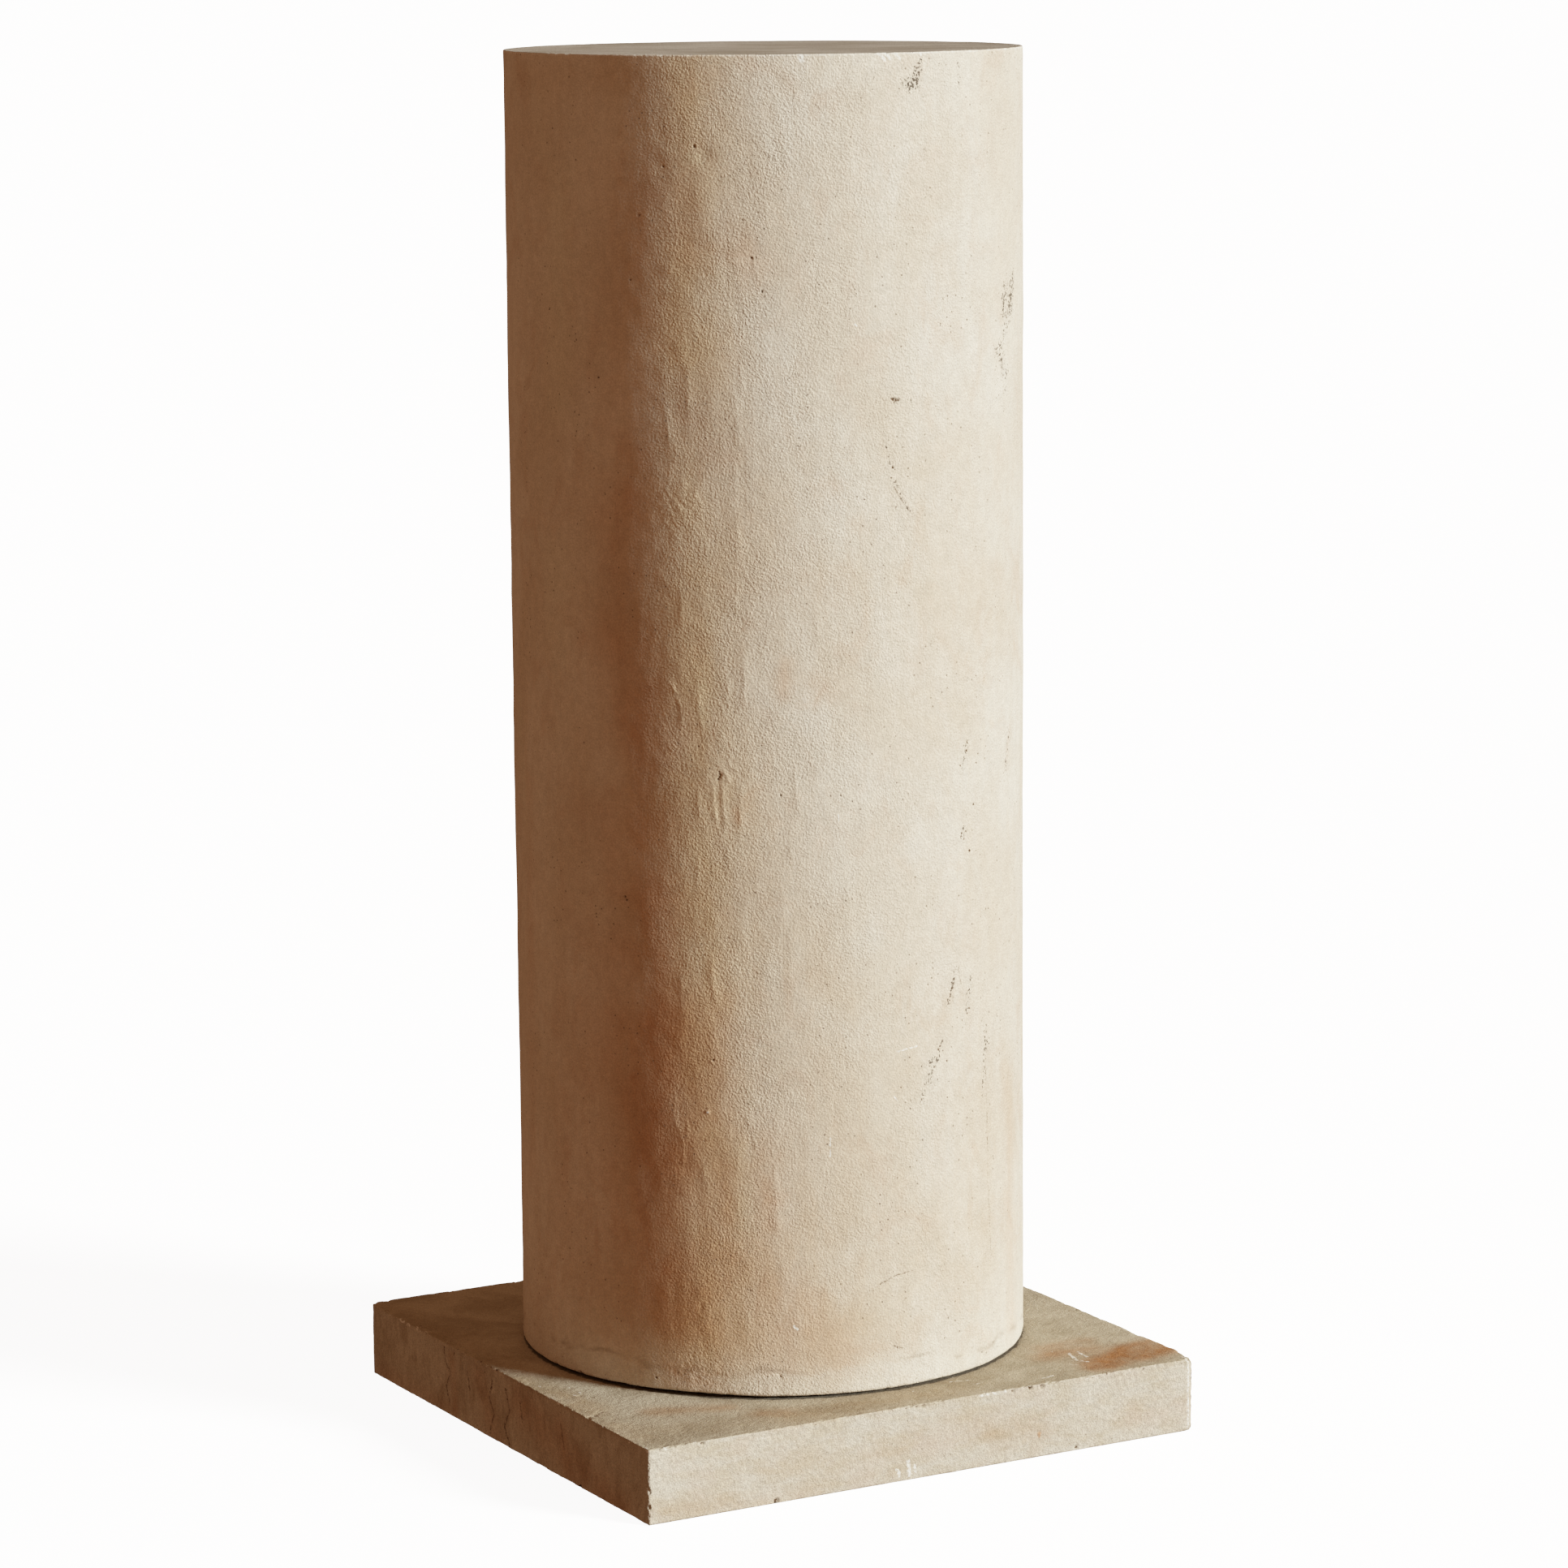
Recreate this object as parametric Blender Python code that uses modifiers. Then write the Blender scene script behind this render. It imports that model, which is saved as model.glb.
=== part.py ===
"""Column pedestal: a plain round plaster shaft standing on a square slab plinth.

Units are metres, +Z is up, and the origin is the centre of the plinth's underside.
The plinth's sides lie along X and Y. Its front face looks along -Y and its left face along -X.
The corner between those two faces is the crisp one.
"""

import math

import bmesh
import bpy
from mathutils import Vector

# Plinth: a square slab, cast in one piece, that projects past the shaft on all sides
PLINTH_MARGIN = 0.041
PLINTH_THICKNESS = 0.055
CRISP_CORNER_RADIUS = 0.002
WORN_CORNER_RADIUS = 0.008
CORNER_SEGMENTS = 6
PLINTH_ARRIS = 0.0015
ARRIS_SEGMENTS = 2
ARRIS_ANGLE_DEG = 40

# Shaft: a straight round drum with a flat top
SHAFT_DIAMETER = 0.375
SHAFT_HEIGHT = 0.955
TOP_ARRIS_RADIUS = 0.0015
FOOT_ARRIS_RADIUS = 0.003
ARC_STEPS = 4
ROUND_STEPS = 128

# Bed joint: the shaft bears on the slab inside an open joint that shows as a dark line
BED_CLEARANCE = 0.0003
OPEN_JOINT_HEIGHT = 0.001
OPEN_JOINT_DEPTH = 0.012

# Chips out of the shaft's top rim, by the angle from +X at which they sit, and their size
RIM_CHIPS = {
    "round": (249, 0.0030),
    "streaked": (267, 0.0034),
    "right": (305, 0.0026),
    "back": (75, 0.0036),
    "back_left": (158, 0.0030),
}

# Chips along the plinth's top edges, by the share of the side from the crisp corner, and their size
FRONT_EDGE_CHIPS = {
    "near_corner": (0.10, 0.0030),
    "middle": (0.51, 0.0038),
    "right_inner": (0.67, 0.0034),
    "right_outer": (0.72, 0.0040),
}
LEFT_EDGE_CHIPS = {
    "near_corner": (0.19, 0.0042),
    "second": (0.29, 0.0034),
    "far": (0.72, 0.0046),
}

# Nicks up the crisp corner, by the share of the plinth's thickness, and their size
CORNER_NICKS = {
    "low": (0.22, 0.0026),
    "middle": (0.43, 0.0030),
    "high": (0.74, 0.0024),
}

# A chip's cutter is a small faceted ball. Its centre stands off the softened edge, each way,
# by this share of its size.
CHIP_STAND_OFF = 0.3

SAND = (0.72, 0.64, 0.51, 1.0)
GREY_SAND = (0.60, 0.52, 0.40, 1.0)
PLASTER_ROUGHNESS = 0.85

# Heights and radii that follow from the sizes above
SHAFT_RADIUS = SHAFT_DIAMETER / 2
SHAFT_FOOT = PLINTH_THICKNESS + BED_CLEARANCE
SHAFT_TOP = SHAFT_FOOT + SHAFT_HEIGHT
PLINTH_SIDE = SHAFT_DIAMETER + 2 * PLINTH_MARGIN
HALF_SIDE = PLINTH_SIDE / 2


def clear_scene():
    """Remove every object, so that the part stands alone."""
    for item in list(bpy.data.objects):
        bpy.data.objects.remove(item, do_unlink=True)


def new_collection(name):
    """A collection of the scene, for the part or for its cutters."""
    collection = bpy.data.collections.new(name)
    bpy.context.scene.collection.children.link(collection)
    return collection


def plaster(name, colour):
    """A matt plaster of one colour."""
    material = bpy.data.materials.new(name)
    material.use_nodes = True
    surface = material.node_tree.nodes["Principled BSDF"]
    surface.inputs["Base Color"].default_value = colour
    surface.inputs["Roughness"].default_value = PLASTER_ROUGHNESS
    surface.inputs["Metallic"].default_value = 0.0
    return material


def add_object(name, mesh, collection, material=None):
    """An object for the mesh, in the collection."""
    item = bpy.data.objects.new(name, mesh)
    collection.objects.link(item)
    if material:
        mesh.materials.append(material)
    return item


def arc(centre_x, centre_z, radius, start_deg, end_deg):
    """Points of an arc in the XZ plane, both ends included."""
    points = []
    for step in range(ARC_STEPS + 1):
        angle = math.radians(start_deg + (end_deg - start_deg) * step / ARC_STEPS)
        points.append((centre_x + radius * math.cos(angle), centre_z + radius * math.sin(angle)))
    return points


def shaft_profile():
    """The shaft's half section, from the centre of its top down its side to the centre of its foot."""
    rim_x = SHAFT_RADIUS - TOP_ARRIS_RADIUS
    rim_z = SHAFT_TOP - TOP_ARRIS_RADIUS
    toe_x = SHAFT_RADIUS - FOOT_ARRIS_RADIUS
    joint_z = SHAFT_FOOT + OPEN_JOINT_HEIGHT
    toe_z = joint_z + FOOT_ARRIS_RADIUS
    bed_radius = SHAFT_RADIUS - OPEN_JOINT_DEPTH
    points = [(0.0, SHAFT_TOP)]
    points += arc(rim_x, rim_z, TOP_ARRIS_RADIUS, 90, 0)
    points += arc(toe_x, toe_z, FOOT_ARRIS_RADIUS, 0, -90)
    points += [(bed_radius, joint_z), (bed_radius, SHAFT_FOOT), (0.0, SHAFT_FOOT)]
    return points


def turned_mesh(name, profile):
    """An open line of edges in the XZ plane, ready to be turned about Z."""
    mesh = bpy.data.meshes.new(name)
    vertices = [(x, 0.0, z) for x, z in profile]
    edges = [(i, i + 1) for i in range(len(vertices) - 1)]
    mesh.from_pydata(vertices, edges, [])
    return mesh


def chip_cutter(name, spots, collection):
    """One helper mesh of faceted balls, each given as (centre, radius)."""
    form = bmesh.new()
    for centre, radius in spots:
        made = bmesh.ops.create_icosphere(form, subdivisions=1, radius=radius)
        bmesh.ops.translate(form, verts=made["verts"], vec=centre)
    mesh = bpy.data.meshes.new(name)
    form.to_mesh(mesh)
    form.free()
    cutter = add_object(name, mesh, collection)
    cutter.hide_render = True
    cutter.display_type = "WIRE"
    return cutter


def cut(item, cutter):
    """Take the cutter out of the item."""
    modifier = item.modifiers.new("chips", "BOOLEAN")
    modifier.operation = "DIFFERENCE"
    modifier.solver = "EXACT"
    modifier.object = cutter


def chip_offset(size, edge_radius):
    """How far out of the sharp corner, each way, a chip's centre lies, so that it bites the rounded edge."""
    return CHIP_STAND_OFF * size - edge_radius * (1 - math.sqrt(0.5))


def rim_chip_spots():
    """Centres and sizes of the chips out of the shaft's top rim."""
    spots = []
    for angle_deg, size in RIM_CHIPS.values():
        angle = math.radians(angle_deg)
        off = chip_offset(size, TOP_ARRIS_RADIUS)
        reach = SHAFT_RADIUS + off
        spots.append((Vector((reach * math.cos(angle), reach * math.sin(angle), SHAFT_TOP + off)), size))
    return spots


def plinth_chip_spots():
    """Centres and sizes of the chips along the plinth's top edges and up its crisp corner."""
    spots = []
    for share, size in FRONT_EDGE_CHIPS.values():
        off = chip_offset(size, PLINTH_ARRIS)
        along = -HALF_SIDE + share * PLINTH_SIDE
        spots.append((Vector((along, -HALF_SIDE - off, PLINTH_THICKNESS + off)), size))
    for share, size in LEFT_EDGE_CHIPS.values():
        off = chip_offset(size, PLINTH_ARRIS)
        along = -HALF_SIDE + share * PLINTH_SIDE
        spots.append((Vector((-HALF_SIDE - off, along, PLINTH_THICKNESS + off)), size))
    for share, size in CORNER_NICKS.values():
        off = chip_offset(size, CRISP_CORNER_RADIUS)
        spots.append((Vector((-HALF_SIDE - off, -HALF_SIDE - off, share * PLINTH_THICKNESS)), size))
    return spots


def build_shaft(collection, cutters):
    """The drum: a turned solid with softened arrises, an open joint at its foot and a chipped rim."""
    mesh = turned_mesh("shaft", shaft_profile())
    shaft = add_object("shaft", mesh, collection, plaster("shaft_plaster", SAND))
    turn = shaft.modifiers.new("turn", "SCREW")
    turn.axis = "Z"
    turn.steps = ROUND_STEPS
    turn.render_steps = ROUND_STEPS
    turn.use_merge_vertices = True
    turn.merge_threshold = 0.0001
    turn.use_smooth_shade = True
    cut(shaft, chip_cutter("rim_chips", rim_chip_spots(), cutters))
    return shaft


def upright_edge_at(form, x_sign, y_sign):
    """The slab's upright edge at one corner in plan."""
    for edge in form.edges:
        middle = (edge.verts[0].co + edge.verts[1].co) / 2
        upright = abs(edge.verts[0].co.z - edge.verts[1].co.z) > PLINTH_THICKNESS / 2
        if upright and middle.x * x_sign > 0 and middle.y * y_sign > 0:
            return edge
    raise ValueError("the slab has no such corner")


def build_plinth(collection, cutters):
    """The slab: a box with one crisp corner, three worn ones, soft arrises and chipped edges."""
    form = bmesh.new()
    bmesh.ops.create_cube(form, size=1.0)
    bmesh.ops.scale(form, verts=form.verts, vec=(PLINTH_SIDE, PLINTH_SIDE, PLINTH_THICKNESS))
    bmesh.ops.translate(form, verts=form.verts, vec=(0.0, 0.0, PLINTH_THICKNESS / 2))
    for x_sign in (-1, 1):
        for y_sign in (-1, 1):
            crisp = x_sign < 0 and y_sign < 0
            bmesh.ops.bevel(
                form,
                geom=[upright_edge_at(form, x_sign, y_sign)],
                offset=CRISP_CORNER_RADIUS if crisp else WORN_CORNER_RADIUS,
                segments=CORNER_SEGMENTS,
                profile=0.5,
                affect="EDGES",
            )
    mesh = bpy.data.meshes.new("plinth")
    form.to_mesh(mesh)
    form.free()
    plinth = add_object("plinth", mesh, collection, plaster("plinth_plaster", GREY_SAND))
    soften = plinth.modifiers.new("arrises", "BEVEL")
    soften.width = PLINTH_ARRIS
    soften.segments = ARRIS_SEGMENTS
    soften.limit_method = "ANGLE"
    soften.angle_limit = math.radians(ARRIS_ANGLE_DEG)
    cut(plinth, chip_cutter("edge_chips", plinth_chip_spots(), cutters))
    return plinth


def main():
    """Build the pedestal."""
    clear_scene()
    part = new_collection("column_pedestal")
    cutters = new_collection("cutters")
    build_plinth(part, cutters)
    build_shaft(part, cutters)


main()
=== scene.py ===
import math

import bmesh
import bpy
import numpy as np
from mathutils import Matrix, Vector, noise


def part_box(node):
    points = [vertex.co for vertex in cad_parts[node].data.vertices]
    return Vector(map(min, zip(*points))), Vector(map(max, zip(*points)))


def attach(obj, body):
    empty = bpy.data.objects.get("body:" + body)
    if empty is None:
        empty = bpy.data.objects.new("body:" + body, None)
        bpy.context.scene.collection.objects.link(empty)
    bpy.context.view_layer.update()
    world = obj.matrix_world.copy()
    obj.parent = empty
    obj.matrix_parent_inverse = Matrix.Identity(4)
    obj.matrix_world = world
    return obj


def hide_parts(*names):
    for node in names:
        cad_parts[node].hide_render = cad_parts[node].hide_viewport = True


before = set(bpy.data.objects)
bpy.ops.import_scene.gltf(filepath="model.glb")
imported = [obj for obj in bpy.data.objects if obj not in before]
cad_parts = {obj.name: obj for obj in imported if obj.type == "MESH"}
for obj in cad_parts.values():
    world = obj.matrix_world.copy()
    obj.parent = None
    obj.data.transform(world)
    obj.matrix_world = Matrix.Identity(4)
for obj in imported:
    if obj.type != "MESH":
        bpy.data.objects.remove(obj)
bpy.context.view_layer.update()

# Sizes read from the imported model, in metres
plinth_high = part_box("plinth")[1]
shaft_low, shaft_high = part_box("shaft")
HALF_SIDE = plinth_high.x
PLINTH_TOP = plinth_high.z
SHAFT_RADIUS = shaft_high.x
SHAFT_TOP = shaft_high.z
SHAFT_FOOT = shaft_low.z

MM = 0.001

# The open joint under the shaft, and the softened edges, as on the solids
OPEN_JOINT_HEIGHT = 1.0 * MM
OPEN_JOINT_DEPTH = 12.0 * MM
RIM_ARRIS = 1.1 * MM
FOOT_ARRIS = 2.6 * MM
PLINTH_ARRIS = 1.1 * MM
CRISP_CORNER = 2.0 * MM
WORN_CORNER = 8.0 * MM
JOINT_Z = SHAFT_FOOT + OPEN_JOINT_HEIGHT

# The camera, as measured from the photograph
PHOTO_PIXELS = 1932
CAMERA_AZIMUTH_DEG = -29.197
CAMERA_DISTANCE = 3.8235
CAMERA_HEIGHT = 1.1101
CAMERA_PAN_DEG = 0.166
CAMERA_TILT_DEG = 9.495
CAMERA_ROLL_DEG = -0.46
CAMERA_LENS = 120.43
CAMERA_SENSOR = 36.0

# The light
KEY_AZIMUTH_DEG = 34.8
KEY_ELEVATION_DEG = 20.0
KEY_SOFTNESS_DEG = 14.0
KEY_STRENGTH = 1.79
KEY_COLOUR = (0.945, 1.0, 0.975)
FILL_COLOUR = (1.0, 0.50, 0.27, 1.0)
WHITE = (1.0, 1.0, 1.0, 1.0)
FILL_STRENGTH = 0.069

# The camera's response: brightness on screen against light. A higher shoulder holds highlights back more.
RESPONSE_SHOULDER = 4.0
RESPONSE_STEPS = (0.03, 0.07, 0.12, 0.19, 0.28, 0.40, 0.56, 0.76)


def srgb(red, green, blue):
    """A colour named by its screen values, 0 to 255, as the linear colour that nodes take."""
    def linear(value):
        share = value / 255
        return share / 12.92 if share <= 0.04045 else ((share + 0.055) / 1.055) ** 2.4
    return (linear(red), linear(green), linear(blue), 1.0)


# Camera and the way from a pixel of the photograph to a point on the object

def camera_place():
    """Where the camera stands."""
    azimuth = math.radians(CAMERA_AZIMUTH_DEG)
    return Vector((
        CAMERA_DISTANCE * math.sin(azimuth),
        -CAMERA_DISTANCE * math.cos(azimuth),
        CAMERA_HEIGHT,
    ))


def camera_axes():
    """The camera's right, up and forward directions."""
    azimuth = math.radians(CAMERA_AZIMUTH_DEG)
    pan = math.radians(CAMERA_PAN_DEG)
    tilt = math.radians(CAMERA_TILT_DEG)
    roll = math.radians(CAMERA_ROLL_DEG)
    inward = Vector((-math.sin(azimuth), math.cos(azimuth), 0.0))
    sideways = Vector((math.cos(azimuth), math.sin(azimuth), 0.0))
    level = inward * math.cos(pan) + sideways * math.sin(pan)
    right = sideways * math.cos(pan) - inward * math.sin(pan)
    forward = level * math.cos(tilt) - Vector((0.0, 0.0, math.sin(tilt)))
    up = right.cross(forward)
    turned_right = right * math.cos(roll) + up * math.sin(roll)
    turned_up = up * math.cos(roll) - right * math.sin(roll)
    return turned_right, turned_up, forward


def photo_ray(px, py):
    """The direction from the camera through a pixel of the photograph."""
    right, up, forward = camera_axes()
    focal = CAMERA_LENS / CAMERA_SENSOR * PHOTO_PIXELS
    middle = PHOTO_PIXELS / 2
    return forward + right * ((px - middle) / focal) - up * ((py - middle) / focal)


def on_shaft(px, py):
    """The point of the shaft's side that a pixel shows."""
    start = camera_place()
    ray = photo_ray(px, py)
    a = ray.x ** 2 + ray.y ** 2
    b = start.x * ray.x + start.y * ray.y
    c = start.x ** 2 + start.y ** 2 - SHAFT_RADIUS ** 2
    reach = (-b - math.sqrt(max(0.0, b * b - a * c))) / a
    return np.array(start + ray * reach)


def on_plane(px, py, axis, level):
    """The point of the plane at that level of an axis (0 is X, 1 is Y, 2 is Z) that a pixel shows."""
    start = camera_place()
    ray = photo_ray(px, py)
    return np.array(start + ray * ((level - start[axis]) / ray[axis]))


def on_top(px, py):
    return on_plane(px, py, 2, PLINTH_TOP)


def on_front(px, py):
    return on_plane(px, py, 1, -HALF_SIDE)


def on_left(px, py):
    return on_plane(px, py, 0, -HALF_SIDE)


def stretches(rows, find):
    """Rows that begin with two pixels, as two points and the numbers that follow."""
    return [(find(x1, y1), find(x2, y2), *rest) for x1, y1, x2, y2, *rest in rows]


def places(rows, find):
    """Rows that begin with one pixel, as a point and the numbers that follow."""
    return [(find(px, py), *rest) for px, py, *rest in rows]


# Noise, distances and soft shapes over many points at once

def field(points, size, seed, upright=1.0):
    """Smooth noise from -1 to 1 whose lumps are about that size, drawn out upright by a factor."""
    scaled = points / size
    scaled[:, 2] /= upright
    scaled += seed * 17.31
    return np.array([noise.noise(p) for p in scaled.tolist()])


def rounded(points, size, seed, octaves=3, upright=1.0):
    """Noise with finer noise on it."""
    total = np.zeros(len(points))
    for octave in range(octaves):
        total += field(points, size / 2 ** octave, seed + octave, upright) / 2 ** octave
    return total


def offsets(points, size, seed):
    """A small shift of each point in all three directions, from -1 to 1, to make outlines ragged."""
    return np.stack([field(points, size, seed + turn / 3) for turn in range(3)], axis=1)


def step(values, low, high):
    """0 below low, 1 above high and smooth between."""
    share = np.clip((values - low) / (high - low), 0.0, 1.0)
    return share * share * (3 - 2 * share)


def line_distance(points, start, end):
    """Each point's distance to a straight stretch, and its share of the way along it."""
    run = end - start
    share = np.clip(((points - start) @ run) / max(run @ run, 1e-12), 0.0, 1.0)
    return np.linalg.norm(points - start - share[:, None] * run, axis=1), share


def fold(points, start, end, left, right, height):
    """A crest that falls away to the left and the right over those widths, steepest next to the crest.

    Left and right are as seen from outside the drum. It fades out at both ends. A groove has a height
    below 0.
    """
    middle = (start + end) / 2
    across = np.array([-middle[1], middle[0], 0.0])
    across /= np.linalg.norm(across)
    distance, share = line_distance(points, start, end)
    side = (points - start - share[:, None] * (end - start)) @ across
    fade = step(share, 0.0, 0.4) * step(1 - share, 0.0, 0.4)
    return height * fade * np.exp(-distance / np.where(side > 0, right, left))


def crack(points, start, end, width, depth):
    """A thin groove of even depth."""
    distance, _ = line_distance(points, start, end)
    return -depth * np.exp(-((distance / width) ** 2))


def lump(points, centre, radius, height):
    """A soft swelling, or a dent if height is negative."""
    distance = np.linalg.norm(points - centre, axis=1)
    return height * np.exp(-((distance / radius) ** 2))


def hole(points, centre, radius, depth):
    """A small pit with a crisp edge."""
    distance = np.linalg.norm(points - centre, axis=1)
    return -depth * step(-distance, -radius, -0.45 * radius)


def blob(points, centre, radius):
    """A soft spot of paint, 1 at its centre and 0 from its radius on."""
    distance = np.linalg.norm(points - centre, axis=1)
    return step(-distance, -radius, 0.0)


def stroke(points, start, end, width):
    """A line of paint."""
    distance, _ = line_distance(points, start, end)
    return step(-distance, -width, -0.3 * width)


def glow(points, start, end, width):
    """A soft run of paint with no edge."""
    distance, _ = line_distance(points, start, end)
    return np.exp(-((distance / width) ** 2))


def layered(points, runs, find):
    """Soft runs of paint laid over each other, from rows of two pixels, a width in mm and a strength."""
    bare = np.ones(len(points))
    for start, end, width, strength in stretches(runs, find):
        bare *= 1 - strength * glow(points, start, end, width * MM)
    return 1 - bare


def stroked(points, marks, find, wider=0.0):
    """Lines of paint from rows of two pixels and a width in mm, all of them wider by so many mm."""
    most = np.zeros(len(points))
    for start, end, width, *_ in stretches(marks, find):
        most = np.maximum(most, stroke(points, start, end, (width + wider) * MM))
    return most


def dotted(points, spots, wider=1.0):
    """Round spots of paint from (centre, radius in mm, ...), all of them wider by a factor."""
    most = np.zeros(len(points))
    for centre, radius, *_ in spots:
        most = np.maximum(most, blob(points, centre, wider * radius * MM))
    return most


# Meshes

# From a square face's side to the distance between its centre and its corners
HALF_DIAGONAL = 0.71

# An edge is halved where it is longer than this many times the size asked for
LONG_EDGE = 1.5


def lathe(profile, columns):
    """A closed bmesh turned from a half section that starts and ends on the axis."""
    form = bmesh.new()
    rings = []
    for radius, z in profile:
        if radius < 1e-9:
            rings.append([form.verts.new((0.0, 0.0, z))])
            continue
        ring = []
        for column in range(columns):
            angle = 2 * math.pi * column / columns
            ring.append(form.verts.new((radius * math.cos(angle), radius * math.sin(angle), z)))
        rings.append(ring)
    for upper, lower in zip(rings, rings[1:]):
        for column in range(columns):
            after = (column + 1) % columns
            corners = [upper[column % len(upper)], lower[column % len(lower)]]
            corners += [lower[after % len(lower)], upper[after % len(upper)]]
            form.faces.new(list(dict.fromkeys(corners)))
    return form


def lattice_box(xs, ys, zs):
    """A closed bmesh of a box whose faces are ruled by the given lines."""
    form = bmesh.new()
    made = {}

    def vertex(i, j, k):
        key = (i, j, k)
        if key not in made:
            made[key] = form.verts.new((xs[i], ys[j], zs[k]))
        return made[key]

    def face(*keys):
        form.faces.new([vertex(*key) for key in keys])

    right, back, top = len(xs) - 1, len(ys) - 1, len(zs) - 1
    for i in range(right):
        for j in range(back):
            face((i, j, top), (i + 1, j, top), (i + 1, j + 1, top), (i, j + 1, top))
            face((i, j, 0), (i, j + 1, 0), (i + 1, j + 1, 0), (i + 1, j, 0))
    for k in range(top):
        for i in range(right):
            face((i, 0, k), (i + 1, 0, k), (i + 1, 0, k + 1), (i, 0, k + 1))
            face((i, back, k), (i, back, k + 1), (i + 1, back, k + 1), (i + 1, back, k))
        for j in range(back):
            face((0, j, k), (0, j, k + 1), (0, j + 1, k + 1), (0, j + 1, k))
            face((right, j, k), (right, j + 1, k), (right, j + 1, k + 1), (right, j, k + 1))
    return form


def refine(form, target_size, rounds):
    """Halve the long edges of the faces that are coarser than target_size asks where they lie."""
    for _ in range(rounds):
        form.faces.ensure_lookup_table()
        centres = np.array([face.calc_center_median() for face in form.faces])
        sides = np.array([max(edge.calc_length() for edge in face.edges) for face in form.faces])
        targets = target_size(centres, sides * HALF_DIAGONAL)
        chosen = set()
        for face, target in zip(form.faces, targets.tolist()):
            for edge in face.edges:
                if edge.calc_length() > LONG_EDGE * target:
                    chosen.add(edge)
        if not chosen:
            return
        ordered = [edge for edge in form.edges if edge in chosen]
        bmesh.ops.subdivide_edges(form, edges=ordered, cuts=1, use_grid_fill=True)


def finish_mesh(name, form, points, paints):
    """A smooth-shaded object from the bmesh, with the points moved and the paints as attributes."""
    mesh = bpy.data.meshes.new(name)
    form.to_mesh(mesh)
    form.free()
    mesh.vertices.foreach_set("co", points.astype(np.float32).ravel())
    for paint, values in paints.items():
        layer = mesh.attributes.new(paint, "FLOAT", "POINT")
        layer.data.foreach_set("value", np.clip(values, 0.0, 1.0).astype(np.float32))
    mesh.shade_smooth()
    mesh.update()
    item = bpy.data.objects.new(name, mesh)
    bpy.context.scene.collection.objects.link(item)
    return item


def vertex_points(form):
    """The bmesh's points, in order."""
    form.verts.ensure_lookup_table()
    return np.array([vertex.co for vertex in form.verts])


def round_edge(inset, height, arris):
    """Round the outer edge of a half section.

    inset is the depth inside the outer face and height the depth below the upper face, 0 or more.
    Returns the new inset and height, and the outward and upward shares of the surface normal.
    """
    near = (inset < arris) & (height < arris)
    out = arris - inset
    rise = arris - height
    reach = np.maximum(out, rise)
    length = np.maximum(np.hypot(out, rise), 1e-9)
    new_inset = np.where(near, arris - out / length * reach, inset)
    new_height = np.where(near, arris - rise / length * reach, height)
    outward = np.where(near, out / length, (inset <= height).astype(float))
    upward = np.where(near, rise / length, (height < inset).astype(float))
    return new_inset, new_height, outward, upward


# The shaft

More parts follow.
